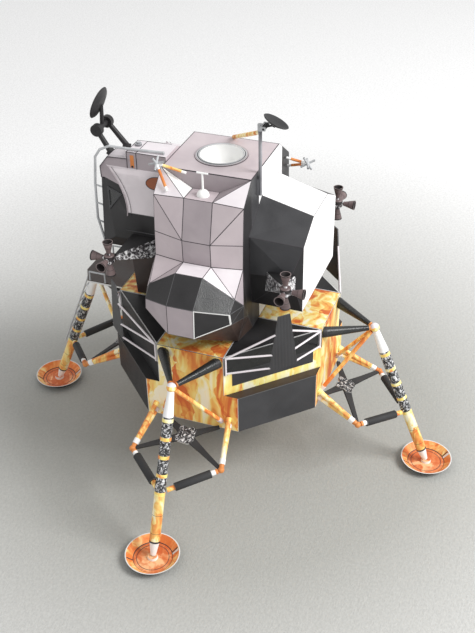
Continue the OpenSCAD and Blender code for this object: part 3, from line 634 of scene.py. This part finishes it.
def buildSideStruts(turn, v, node):
    sheet = newSheet()
    fork = Vector(v["fork"])
    for s in (-1, 1):
        knee = Vector((v["knee"][0], s * v["knee"][1], v["knee"][2]))
        length = (knee - fork).length
        a, b = 2.85, length - 1.4
        profile = [(a, 0), (a, 1.0), (a + 1.2, 1.0), (6.0, 1.0), (6.0, 1.55), (6.15, v["sleeve"]), (length - 4.35, v["sleeve"]), (length - 4.2, 1.55),
                   (length - 4.2, 1.05), (length - 2.4, 1.05), (b, 1.05), (b, 0)]
        names = ["foilTube", "foilBand", "foilTube", "blackMatt", "hazeEdge", "blackMatt", "hazeEdge", "blackMatt", "whitePaper", "amberPaper", "amberPaper"]
        addTurned(sheet, turned(fork, turn), turned(knee, turn), profile, names, 24)
    makePiece(node.split("_")[0] + "SideStruts", sheet, "descent_stage", [node])


def buildOutriggers(turn, v, node):
    sheet = newSheet()
    apex = Vector(v["apex"])
    r = descentHull["reach"]
    for s in (-1, 1):
        a, b = Vector((r, s * 11.2, descentHull["deck"] - 3)), Vector((r, s * 12.4, 37))
        length = (apex - a).length
        addTurned(sheet, turned(a, turn), turned(apex, turn), [(-0.6, 0), (-0.6, 2.2), (0.9, 2.24), (1.1, 2.2), (length - 2.6, 1.02), (length - 2.15, 1.0),
                  (length - 2.15, 0)], ["blackCard", "blackCard", "foldInk", "blackGloss", "amberPaper", "amberPaper"], 28)
        length = (apex - b).length
        addTurned(sheet, turned(b, turn), turned(apex, turn), [(0.0, 0), (0.0, 1.0), (2.6, 1.0), (2.6, 0.85), (length - 2.15, 0.85), (length - 2.15, 0)],
                  ["whitePaper", "brightCard", "whitePaper", "foilTube", "foilTube"], 20)
    makePiece(node.split("_")[0] + "Outriggers", sheet, "descent_stage", [node])


def buildTruss(turn, v, node):
    sheet = newSheet()
    inner, knee = (44.6, 12.6, 34.7), v["knee"]
    share = inner[1] / (inner[1] + knee[1])
    hub = Vector((inner[0] + (knee[0] - inner[0]) * share, 0, inner[2] + (knee[2] - inner[2]) * share))
    slope = Vector((knee[0] - inner[0], 0, knee[2] - inner[2])).normalized()
    up = Vector((-slope.z, 0, slope.x))
    outline = []
    for x, y, z in (inner, knee):
        for s in (1, -1):
            arm = Vector((x, s * y, z)) - hub
            arm -= up * arm.dot(up)
            side = up.cross(arm).normalized()
            outline = [hub - side * 1.9, hub + arm * 0.5 - side * 1.15, hub + arm * 0.94 - side * 0.75, hub + arm * 0.94 + side * 0.75, hub + arm * 0.5 + side * 1.15, hub + side * 1.9]
            addPlate(sheet, [turned(p - up * 0.35, turn) for p in outline], turned(up * 0.7, turn), "blackMatt", "blackMatt")
    patch = []
    for k in range(16):  # foil-print patch with a lobe along each arm
        t = 2 * math.pi * k / 16
        radius = 3.3 + 1.5 * abs(math.sin(2 * t)) ** 2 + 0.35 * math.sin(5 * t + 1)
        patch.append(hub + slope * radius * math.cos(t) + Vector((0, 1, 0)) * radius * math.sin(t))
    addPlate(sheet, [turned(p - up * 0.45, turn) for p in patch], turned(up * 0.9, turn), "silverPrint", "cutEdge")
    for s in (-1, 1):
        end = Vector((knee[0], s * knee[1], knee[2]))
        addBall(sheet, turned(end, turn), 1.3, "amberPaper")
        for z in v["hipUp"]:
            start = Vector((descentHull["reach"], s * v["hip"], z))
            length = (end - start).length
            addTurned(sheet, turned(start, turn), turned(end, turn), [(0, 0), (0, 1.12), (1.8, 1.12), (1.8, v["tube"]), (length - 4.4, v["tube"]), (length - 4.4, 1.14),
                      (length - 2.2, 1.14), (length - 2.2, 1.0), (length, 0.9)],
                      ["whitePaper", "brightCard" if z < 38 else "foilBand", "foldInk", "foilTube", "cutEdge", "whitePaper", "cutEdge", "amberPaper"], 20)
    makePiece(node.split("_")[0] + "Truss", sheet, "descent_stage", [node])


for name, turn in sides.items():
    buildStrut(turn, leg, name + "_primary_strut")
    buildPad(turn, leg, name + "_footpad")
    buildSideStruts(turn, leg, name + "_side_struts")
    buildOutriggers(turn, leg, name + "_outriggers")
    buildTruss(turn, leg, name + "_truss")
print("four legs made")

# ---- porch and ladder ----
copyNode("porch", "porchDeck", "descent_stage", ["brownCard", "brightTube", "cutEdge"],
         lambda c, n: "brightTube" if c.z > 69.2 else ("cutEdge" if abs(n.z) < 0.5 else "brownCard"))
copyNode("ladder", "ladderRungs", "descent_stage", ["brightTube"], lambda c, n: "brightTube")
print("porch and ladder made")

# ---- ascent stage ----
core = {"top": 133.7, "foot": 69.0, "half": 17.7, "port": 21.3, "starboard": -11.0, "lowSide": -14.2, "lowTop": 131.4, "tunnel": 8.7, "mastSide": 13.4}
low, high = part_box("midsection")
core.update(top=high.z / mm, foot=low.z / mm, half=high.y / mm, port=high.x / mm)


def buildMidsection(v):
    sheet = newSheet()
    h, top, foot, port, star, side, drop = (v[k] for k in ("half", "top", "foot", "port", "starboard", "lowSide", "lowTop"))
    outer = [Vector(p) for p in ((star, -h, top), (port, -h, top), (port, h, top), (star, h, top))]
    inner = inset(outer, [0.35] * 4)
    for k in range(4):
        addFace(sheet, [outer[k], outer[(k + 1) % 4], inner[(k + 1) % 4], inner[k]], "foldInk")
    cx, spokes = (port + v["starboard"]) / 2, []
    angles = sorted([2 * math.pi * k / 48 for k in range(48)] + [math.atan2(p.y, p.x - cx) % (2 * math.pi) for p in inner])
    for t in angles:
        dx, dy = math.cos(t), math.sin(t)
        reach = min(((inner[1].x if dx > 0 else inner[0].x) - cx) / dx if abs(dx) > 1e-9 else 1e9,
                    ((inner[2].y if dy > 0 else inner[0].y)) / dy if abs(dy) > 1e-9 else 1e9)
        spokes.append((Vector((cx + v["tunnel"] * dx, v["tunnel"] * dy, top)), Vector((cx + reach * dx, reach * dy, top))))
    for (a, b), (c, d) in zip(spokes, spokes[1:] + spokes[:1]):
        addFace(sheet, [a, b, d, c], "lilacCard")
    addPanel(sheet, [(side, -h, drop), (star, -h, top), (star, h, top), (side, h, drop)], "lilacCard")
    addPanel(sheet, [(side, h, foot), (side, -h, foot), (side, -h, drop), (side, h, drop)], "lilacShade")
    addPanel(sheet, [(port, -h, foot), (port, h, foot), (port, h, top), (port, -h, top)], "lilacShade", width=0.3)
    aft = [(port, h, foot), (side, h, foot), (side, h, drop), (star, h, top), (port, h, top)]
    addPanel(sheet, [(v["mastSide"], h, foot), aft[1], aft[2], aft[3], (v["mastSide"], h, top)], "whitePaper", ink="softInk")
    addPanel(sheet, [aft[0], (v["mastSide"], h, foot), (v["mastSide"], h, top), aft[4]], "darkPanel")
    addPanel(sheet, [(x, -h, z) for x, y, z in aft[::-1]], "lilacShade")
    addFace(sheet, [(side, -h, foot), (side, h, foot), (port, h, foot), (port, -h, foot)], "blackCard")
    makePiece("midsectionShell", sheet, "ascent_stage", ["midsection"])


dock = {"out": 10.25, "bowl": 8.25, "deep": 8.0}


def buildDock(v):
    sheet = newSheet()
    low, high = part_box("docking_ring")
    at = Vector(((low.x + high.x) / 2 / mm, 0, core["top"]))
    r, d = v["bowl"], v["deep"]
    bowl = [(0.4 - d, 0), (0.4 - d, r * 0.5), (0.6 - d, r * 0.6), (2.6 - d, r * 0.82), (4.6 - d, r * 0.94), (-1, r), (0.45, r)]
    profile = bowl + [(0.5, r + 0.05), (0.5, r + 0.62), (0.28, r + 0.7), (0.28, r + 0.95), (0.34, r + 1.0), (0.34, r + 1.35), (0.28, r + 1.4), (0.3, r + 1.92), (0, r + 2.0)]
    names = ["whitePaper"] * 6 + ["greyTube", "brightTube", "greyTube", "foldInk", "greyTube", "brightTube", "greyTube", "lilacShade", "foldInk"]
    addTurned(sheet, at, at + Vector((0, 0, 1)), profile, names, 64)
    for a in (20, 68, 115, 160, 205, 250, 295, 340):  # score lines of the bowl's gores
        t = math.radians(a)
        addLine(sheet, at + Vector((r * 0.45 * math.cos(t), r * 0.45 * math.sin(t), 0.4 - d)), at + Vector((r * 0.58 * math.cos(t), r * 0.58 * math.sin(t), 0.5 - d)),
                (0, 0, 1), 0.1, "softInk", 0.08)
    makePiece("dockingRing", sheet, "ascent_stage", ["docking_ring"])


# distance out, half width and height of each fold, from the top edge down to the stage's foot
tankFolds = {
    "port": [(21.3, 17.7, 133.7), (21.3, 5.4, 126.7), (29.7, 17.7, 126.3), (29.6, 5.6, 126.7), (30.8, 17.7, 111.5), (33.4, 5.6, 110.9),
             (31.3, 17.7, 101.6), (33.1, 5.6, 101.4), (41.2, 5.45, 101.4), (39.5, 17.2, 93.4), (36.6, 19.75, 89.4), (51.05, 5.3, 93.1),
             (44.3, 16.9, 89.65), (51.3, 5.2, 80.7), (43.95, 17.3, 85), (36.6, 19.75, 84), (32.2, 15.6, 69), (26.5, 17.7, 78), (21.3, 17.7, 69)],
    "starboard": [(14.2, 17.7, 131.4), (14.2, 5.4, 124.6), (23.3, 17.7, 124.6), (23.2, 5.6, 124.6), (23.8, 17.7, 111.5), (25.6, 5.6, 110.9),
                  (24.4, 17.7, 101.6), (25.4, 5.6, 101.4), (31.5, 5.45, 101.4), (30.4, 17.2, 93.4), (28.6, 19.2, 89.4), (38.6, 5.3, 93.1),
                  (34, 16.9, 89.65), (38.8, 5.2, 80.7), (33.7, 17.3, 85), (28.6, 19.2, 84), (26.4, 15.6, 69), (25.4, 17.7, 78), (14.2, 17.7, 69)]}
# corners by fold number, then the finish on the aft and on the front side; the whitish card on the top panel and on aft
# faces is lilac painted lighter as lit
tankPanels = [((0, 2, 3), "brightCard", "brightCard"), ((0, 3, 1), "lilacShade", "whitePaper"), ((3, 2, 5), "lilacCard", "lilacCard"), ((2, 4, 5), "lilacCard", "lilacCard"),
              ((5, 4, 7), "lilacCard", "lilacCard"), ((4, 6, 7), "lilacCard", "lilacCard"), ((7, 6, 9), "brightCard", "lilacCard"), ((7, 9, 8), "brightCard", "lilacCard"),
              ((8, 9, 11), "blackGloss", "blackCard"), ((9, 12, 11), "blackGloss", "blackCard"), ((11, 12, 13), "blackCard", "lilacShade"), ((12, 14, 13), "blackCard", "lilacShade"),
              ((13, 14, 16), "brownCard", "brownCard"), ((14, 15, 16), "brownCard", "brownCard"), ((15, 17, 16), "brownCard", "blackCard"), ((17, 18, 16), "brownCard", "blackCard"),
              ((6, 10, 9), "lilacShade", "lilacCard"), ((9, 10, 12), "blackCard", "blackCard"), ((12, 10, 14), "blackCard", "blackCard"), ((10, 15, 14), "blackCard", "blackCard"),
              ((6, 17, 10), "blackCard", "blackCard"), ((17, 15, 10), "blackCard", "blackCard"), ((0, 18, 17, 6, 4, 2), "blackCard", "blackCard")]
tankMiddle = [((1, 3), "lilacCard"), ((3, 5), "lilacShade"), ((5, 7), "lilacShade"), ((7, 8), "brightCard"), ((8, 11), "blackCard"), ((11, 13), "lilacShade"), ((13, 16), "brownCard")]


def buildTankBay(side, v):
    sheet = newSheet()
    out = 1 if side == "port" else -1
    folds = v[side]
    for corners, aftFinish, frontFinish in tankPanels:
        for s, finish in ((1, aftFinish), (-1, frontFinish)):
            points = [Vector((out * folds[k][0], s * folds[k][1], folds[k][2])) for k in corners]
            if s * out < 0:
                points = points[::-1]
                order = list(corners)[::-1]
            else:
                order = list(corners)
            dark = finish in ("blackCard", "brownCard", "blackGloss")
            ink, width = ("hazeEdge", 0.12) if dark else ("foldInk", 0.16)
            edges = {}
            for k in range(len(order)):
                pair = {order[k], order[(k + 1) % len(order)]}
                if pair in ({11, 9}, {12, 13}, {14, 16}, {4, 7}):
                    edges[k] = (0, ink)
                if finish == "blackCard" and s == 1 and pair in ({11, 12}, {13, 14}, {12, 14}, {11, 13}):
                    edges[k] = (0.4, "cutEdge")
            addPanel(sheet, points, finish, ink, width, edges)
    for (a, b), finish in tankMiddle:
        points = [Vector((out * folds[k][0], s * folds[k][1], folds[k][2])) for k, s in ((a, -1), (b, -1), (b, 1), (a, 1))]
        if out < 0:
            points = points[::-1]
        dark = finish in ("blackCard", "brownCard")
        addPanel(sheet, points, finish, "hazeEdge" if dark else "foldInk", 0.12 if dark else 0.16)
    makePiece(side + "TankBay", sheet, "ascent_stage", [side + "_tank_bay"])


aftBay = {"folds": [(17.7, 10, 122), (38, 9.4, 116.3), (38, 21.7, 109.5), (17.7, 24.8, 112), (17.7, 24, 95.6), (33.8, 24, 96.8), (38, 21.5, 81), (17.7, 21.5, 81)]}


def buildAftBay(v):
    sheet = newSheet()
    spot = lambda k, s: Vector((s * v["folds"][k][1], v["folds"][k][0], v["folds"][k][2]))
    for corners, finish in (((3, 1, 0), "darkPanel"), ((3, 2, 1), "darkPanel"), ((5, 2, 3), "darkPanel"), ((4, 5, 3), "darkPanel"), ((5, 6, 2), "blackCard"),
                            ((7, 5, 4), "blackCard"), ((7, 6, 5), "blackCard")):
        for s in (1, -1):
            points = [spot(k, s) for k in corners]
            if faceNormal(points).dot(sum(points, Vector()) / 3 - Vector((0, 25, 100))) < 0:
                points = points[::-1]
                corners2 = corners[::-1]
            else:
                corners2 = corners
            edges = {k: (0, "foldInk") for k in range(3) if {corners2[k], corners2[(k + 1) % 3]} in ({1, 3}, {3, 5})}
            addPanel(sheet, points, finish, "foldInk", 0.14, edges)
    for quad, finish in (([(0, -1), (0, 1), (1, 1), (1, -1)], "whitePaper"), ([(6, -1), (6, 1), (7, 1), (7, -1)], "blackCard"),
                         ([(1, -1), (1, 1), (2, 1), (6, 1), (6, -1), (2, -1)], "ruledPaper"), ([(7, -1), (7, 1), (4, 1), (3, 1), (0, 1), (0, -1), (3, -1), (4, -1)], "whitePaper")):
        points = [spot(k, s) for k, s in quad]
        middle = sum(points, Vector()) / len(points)
        if faceNormal(points).dot(middle - Vector((0, 27, 100))) < 0:
            points = points[::-1]
        addPanel(sheet, points, finish, "softInk" if finish != "blackCard" else "hazeEdge", 0.16)
    makePiece("aftEquipmentBay", sheet, "ascent_stage", ["aft_equipment_bay"])


buildMidsection(core)
buildDock(dock)
buildTankBay("port", tankFolds)
buildTankBay("starboard", tankFolds)
buildAftBay(aftBay)
print("mid-section and bays made")

# ---- crew cabin ----
cabin = {"axis": 111, "r": 24.35, "nose": -46, "noseHalf": 17, "cutAt": (24.35, -31.6, 113.3), "slopeOut": 14.4 / 7.35, "slopeUp": 0.2, "brow": 135.2,
         "bandFront": -34, "bandBack": -30, "blackTo": 123.0, "roofFrom": 6.4, "roofFall": 0.5}
cutNormal = Vector((cabin["slopeOut"], -1, cabin["slopeUp"])).normalized()


def cabinFinish(c, n):
    v = cabin
    upper = c.z > v["blackTo"]
    if abs(Vector((abs(n.x), n.y, n.z)).dot(cutNormal)) > 0.995:
        return "lilacShade" if upper else "blackCard"
    if c.z < v["axis"] - 20 and abs(n.x) < 0.99 and c.y < -17.8 and abs(c.x) < 16.1 and c.z < 91.2:
        return "brownCard"
    # the upper drum beyond the nose walls: silvery lilac with a painted highlight; black below
    if abs(c.x) > v["noseHalf"] + 0.05 and abs(n.x) > 0.2 and n.y > -0.9 and c.z < 128.6:
        return "silverHighlightCard" if c.z > 113.3 else "blackCard"
    # faces turned up: lilac painted lighter as lit
    if n.z > 0.6 and c.z > 120:
        return "brightCard"
    if c.y < -34.05 and c.z > 115.9:
        if abs(n.x) > 0.9:
            return "lilacShade" if upper else "blackCard"
        # the nose's upward faces take the lit copy of lilac: painted light
        return "brightCard" if n.z > 0.3 else ("lilacCard" if upper else "blackCard")
    if abs(n.x) > 0.9:
        return "lilacShade" if upper else ("blackCard" if c.z > v["axis"] - 20 else "brownCard")
    return "lilacCard" if c.z > 113.3 and c.y > -36 else "blackCard"


copyNode("crew_cabin", "crewCabin", "ascent_stage", ["blackCard", "brownCard", "silverHighlightCard", "brightCard", "lilacCard", "lilacShade"], cabinFinish,
         cuts=[((0, 0, 113.3), (0, 0, 1)), ((0, 0, 123), (0, 0, 1)), ((17.05, 0, 0), (1, 0, 0)), ((-17.05, 0, 0), (1, 0, 0))])


def buildCabinTrim(v):
    sheet = newSheet()
    r, z0 = v["r"] + 0.04, v["axis"]
    onDrum = lambda t, y: Vector((r * math.cos(t), y, z0 + r * math.sin(t)))
    roof = lambda x: v["brow"] + min(0, (x - v["roofFrom"]) * v["roofFall"])
    for s in (1, -1):
        flip = lambda p: Vector((s * p.x, p.y, p.z))
        wire = lambda pts, width, name: [addRod(sheet, flip(p), flip(q), width, width, name, 8) for p, q in zip(pts, pts[1:])]
        edge = []
        for k in range(0, 23 if s > 0 else 14):  # the drum's cut edge beside the window panel
            t = math.radians(2.4 + k * 1.9)
            p = onDrum(t, 0)
            p.y = v["cutAt"][1] + v["slopeOut"] * (p.x - v["cutAt"][0]) + v["slopeUp"] * (p.z - v["cutAt"][2])
            edge.append(p)
        wire(edge, 0.24, "lilacShade")
        wire([p + Vector((0.05, 1.5, 0.05)) for p in edge], 0.07, "foldInk")
        # two grey lines along the drum: painted highlight streaks
        wire([onDrum(math.radians(5.4), -18), onDrum(math.radians(5.4), -31.2)], 0.14, "hazeEdge")
        wire([onDrum(math.radians(-14), -18), onDrum(math.radians(-14), -33.6)], 0.1, "hazeEdge")
    wall = lambda y, z: Vector((17.05, y, z))
    for y in (v["bandFront"], v["bandBack"]):  # the band over the cabin's port shoulder
        addRod(sheet, wall(y, 128.4), wall(y, v["brow"]), 0.14, 0.14, "foldInk", 6)
        addRod(sheet, (v["roofFrom"], y, v["brow"]), (17, y, v["brow"]), 0.14, 0.14, "foldInk", 6)
        addRod(sheet, (-16, y, roof(-16)), (v["roofFrom"], y, v["brow"]), 0.14, 0.14, "foldInk", 6)
    addFace(sheet, [wall(y, z) for y, z in ((-32.6, 128.9), (-31.0, 128.9), (-31.0, 134.0), (-32.6, 134.0))], "amberPaper")
    addBall(sheet, (16.9, -31.8, 129.3), 0.5, "mauveDark")
    addRod(sheet, (17.0, -17.8, v["brow"]), (17.0, -34, v["brow"]), 0.14, 0.14, "foldInk", 6)
    centre, ring = math.radians(35.5), []  # brown oval on the drum with an ink outline: a painted reflection
    for k in range(32):
        a = 2 * math.pi * k / 32
        ring.append((centre + 0.098 * math.sin(a), -20.9 + 4.3 * math.cos(a)))
    ring = [(t, min(y, -17.9)) for t, y in ring]
    addFace(sheet, [onDrum(t, y) + Vector((0.05, 0, 0.05)) for t, y in ring], "rustPaper")
    for (t0, y0), (t1, y1) in zip(ring, ring[1:] + ring[:1]):
        addRod(sheet, onDrum(t0, y0), onDrum(t1, y1), 0.16, 0.16, "foldInk", 6)
    brow = [(-34, 132.2), (-42.3, 131.9), (-45.8, 127.4), (-45.6, 122.9), (-43, 121.7)]
    for p, q in zip(brow, brow[1:]):
        addRod(sheet, (17.0, *p), (17.0, *q), 0.15, 0.15, "foldInk", 6)
    for (y, z), start in (((-42.3, 131.9), 8.6), ((-45.8, 127.4), -1), ((-45.6, 122.9), -17), ((-43, 121.7), -17)):
        addRod(sheet, (start, y, z), (17, y, z), 0.14, 0.14, "foldInk", 6)
    at = Vector((10.4, -31.8, v["brow"]))  # small sensor on the roof
    addTurned(sheet, at, at + Vector((0, 0, 1)), [(0, 1.3), (0.9, 1.3), (0.9, 0.9), (1.5, 0.8), (1.5, 0)], ["greyTube", "brightTube", "greyTube", "brightTube"], 20)
    makePiece("cabinTrim", sheet, "ascent_stage", [])


def buildWindows(v):
    sheet = newSheet()
    for s in (1, -1):
        origin = Vector(v["cutAt"])
        across = Vector((-1, -v["slopeOut"], 0)).normalized()  # level line in the panel, towards the nose
        up = cutNormal.cross(across)
        up = up if up.z > 0 else -up
        spot = lambda a, b, lift: Vector(((origin + across * a + up * b + cutNormal * lift).x * s, (origin + across * a + up * b + cutNormal * lift).y,
                                          (origin + across * a + up * b + cutNormal * lift).z))
        frameLine, glass = [(3.4, 6.6), (12.6, 6.6), (11.2, -2.6)], [(4.9, 5.8), (11.7, 5.8), (10.6, -0.8)]
        ring = [[spot(a, b, 0.0) for a, b in frameLine], [spot(a, b, 0.42) for a, b in frameLine], [spot(a, b, 0.42) for a, b in glass], [spot(a, b, 0.12) for a, b in glass]]
        for first, second in zip(ring, ring[1:]):
            for k in range(3):
                m = (k + 1) % 3
                addFace(sheet, [first[k], first[m], second[m], second[k]], "darkPanel" if first is ring[1] else "hazeEdge")
        addFace(sheet, ring[3], "blackGloss")
    makePiece("cabinWindows", sheet, "ascent_stage", ["cabin_windows"])


def buildHatch():
    sheet = newSheet()
    low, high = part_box("forward_hatch")
    x0, x1, y0, y1, z0, z1 = low.x / mm, high.x / mm, low.y / mm, high.y / mm, low.z / mm, high.z / mm
    outline = [Vector((x, y1 + 0.02, z)) for x, z in ((x0, z0), (x1, z0), (x1, z1), (x0, z1))]
    addPlate(sheet, outline, (0, y0 - y1, 0), "darkPanel", "cutEdge")
    face = [Vector((x, y0 - 0.0, z)) for x, z in ((x0 + 1.6, z0 + 1.6), (x1 - 1.6, z0 + 1.6), (x1 - 1.6, z1 - 1.6), (x0 + 1.6, z1 - 1.6))]
    for p, q in zip(face, face[1:] + face[:1]):
        addRod(sheet, p, q, 0.12, 0.12, "cutEdge", 6)
    addRod(sheet, (x1 - 3.4, y0, (z0 + z1) / 2 - 1.4), (x1 - 3.4, y0, (z0 + z1) / 2 + 1.4), 0.3, 0.3, "brightTube", 8)
    makePiece("forwardHatch", sheet, "ascent_stage", ["forward_hatch"])


buildCabinTrim(cabin)
buildWindows(cabin)
buildHatch()
print("crew cabin made")

# ---- thrusters and booms ----
cluster = {"spot": 35.5, "z": 98.6, "block": 1.7, "mouth": 2.05, "long": 5.6}


def buildCluster(name, sx, sy, v, node):
    sheet = newSheet()
    at = Vector((sx * v["spot"], sy * v["spot"], v["z"]))
    b = v["block"]
    addTurned(sheet, at, at + Vector((0, 0, 1)), [(-b, 0), (-b, b), (-b + 0.4, b + 0.35), (-0.2, b + 0.35), (-0.1, b + 0.35), (b - 0.4, b + 0.35), (b, b), (b, 0)],
              ["silverFoil", "silverFoil", "silverFoil", "foldInk", "mauveDark", "mauveCard", "mauveCard"], 24)
    end = b + v["long"]
    for way in ((0, 0, 1), (0, 0, -1), (sx, 0, 0), (0, sy, 0)):
        profile = [(0.5, 0.75), (b + 0.8, 0.75), (b + 0.9, 0.95), (b + 1.2, 0.95), (b + 1.6, 1.0), (b + 3.1, 1.42), (b + 3.25, 1.46), (b + 4.5, 1.78), (end - 0.5, 1.92),
                   (end, v["mouth"]), (end, v["mouth"] - 0.3), (b + 2.6, 0.95), (b + 1.8, 0.6), (b + 1.8, 0)]
        names = ["silverFoil", "foldInk", "mauveCard", "mauveCard", "mauveCard", "mauveDark", "mauveCard", "mauveCard", "mauveDark", "mauveRim", "mauveDark", "mauveDark", "blackMatt"]
        addTurned(sheet, at, at + Vector(way), profile, names, 28)
    makePiece(name, sheet, "ascent_stage", [node])


for name, sx, sy in (("portFront", 1, -1), ("portAft", 1, 1), ("starboardFront", -1, -1), ("starboardAft", -1, 1)):
    node = name.replace("Front", "_front").replace("Aft", "_aft") + "_thrusters"
    buildCluster(name + "Thrusters", sx, sy, cluster, node)
copyNode("rcs_booms", "thrusterBooms", "ascent_stage", ["blackCard", "silverFoil"], lambda c, n: "blackCard" if n.z > 0.85 else "silverFoil")
print("thrusters made")

# ---- rails, bells and antennas ----
coatNode("handrail", ["brightTube"])
coatNode("ascent_engine_bell", ["bellCard"])
coatNode("eva_antenna", ["whitePaper"])
coatNode("sband_yoke", ["brightTube"])
coatNode("sband_dish", ["blackMatt"])
coatNode("radar_arms", ["blackCard"])
coatNode("radar_dish", ["blackCard"])
mastAt = Vector((14.6, 18.7, 0))
copyNode("sband_mast", "sbandMast", "ascent_stage", ["greyTube", "foilTube"],
         lambda c, n: "foilTube" if (Vector((c.x, c.y, 0)) - mastAt).length > 1.3 and c.z > 134 else "greyTube")


def buildCrossedTubes():
    sheet = newSheet()
    for at, turn, legs in (((23.4, -18.6, 135.8), (20, 30, 10), ((22.1, -7.4, 133), (28.9, -12.4, 128))),
                           ((-20, 26.5, 122.4), (30, 10, 20), ((-19, 18.0, 124.2), (-20.5, 18.0, 120)))):
        at = Vector(at)
        spin = Euler([math.radians(a) for a in turn]).to_matrix()
        addBall(sheet, at, 0.9, "brightTube")
        for way in ((0, 0, 1), (0, 1, 0), (1, 0, 0)):
            arm = spin @ Vector(way) * 3.2
            addTurned(sheet, at - arm, at + arm, [(0, 0), (0, 0.45), (0.5, 0.45), (0.6, 0.45), (5.8, 0.45), (5.9, 0.45), (6.4, 0.45), (6.4, 0)],
                      ["greyTube", "brightTube", "softInk", "brightTube", "softInk", "brightTube", "greyTube"], 14)
        for end in legs:
            span = Vector(end) - at
            addTurned(sheet, at, Vector(end), [(0.6, 0), (0.6, 0.5), (2.6, 0.52), (2.6, 0.55), (span.length - 1.8, 0.55), (span.length - 1.8, 0.5), (span.length, 0.5), (span.length, 0)],
                      ["whitePaper", "whitePaper", "foldInk", "foilTube" if end[2] > 130 else "amberPaper", "foldInk", "whitePaper", "whitePaper"], 14)
    makePiece("crossedAntennas", sheet, "ascent_stage", ["vhf_antennas"])


buildCrossedTubes()
print("antennas made")

# ---- bench top ----
# near is the painted shade colour round the model, fading out to the far white between the from and to radii
benchTop = {"size": 6.0, "near": (173, 173, 168), "far": (254, 254, 254), "from": 0.09, "to": 0.30}


def buildBench(v):
    material = bpy.data.materials.new("benchCloth")
    material.use_nodes = True
    tree = material.node_tree
    shader = tree.nodes["Principled BSDF"]
    shader.inputs["Roughness"].default_value = 0.9
    shader.inputs["Specular IOR Level"].default_value = 0.15
    place = tree.nodes.new("ShaderNodeTexCoord").outputs["Object"]
    reach = tree.nodes.new("ShaderNodeVectorMath")
    reach.operation = "LENGTH"
    tree.links.new(place, reach.inputs[0])
    # darker close to the model: a painted shade pool, fading out to white
    shadeFade = addRange(tree, reach.outputs["Value"], v["from"], v["to"], 0.0, 1.0)
    weave = addNoise(tree, stretched(tree, place, (1, 1, 1)), 900.0, 4, 0.6)
    thread = addNoise(tree, stretched(tree, place, (0.35, 1, 1), (0, 0, 0.35)), 1500.0, 2)
    base = mixColours(tree, shadeFade, linear(*v["near"]), linear(*v["far"]))
    speck = addRange(tree, weave, 0.35, 0.65, 0.0, 0.16)
    tree.links.new(mixColours(tree, speck, base, linear(120, 120, 118)), shader.inputs["Base Color"])
    addBump(tree, shader, addMath(tree, "ADD", weave, thread), 0.25, 0.0005)
    mesh = bpy.data.meshes.new("benchTop")
    h = v["size"] / 2
    mesh.from_pydata([(-h, -h, 0), (h, -h, 0), (h, h, 0), (-h, h, 0)], [], [(0, 1, 2, 3)])
    mesh.materials.append(material)
    top = bpy.data.objects.new("benchTop", mesh)
    scene.collection.objects.link(top)


buildBench(benchTop)
print("bench made")
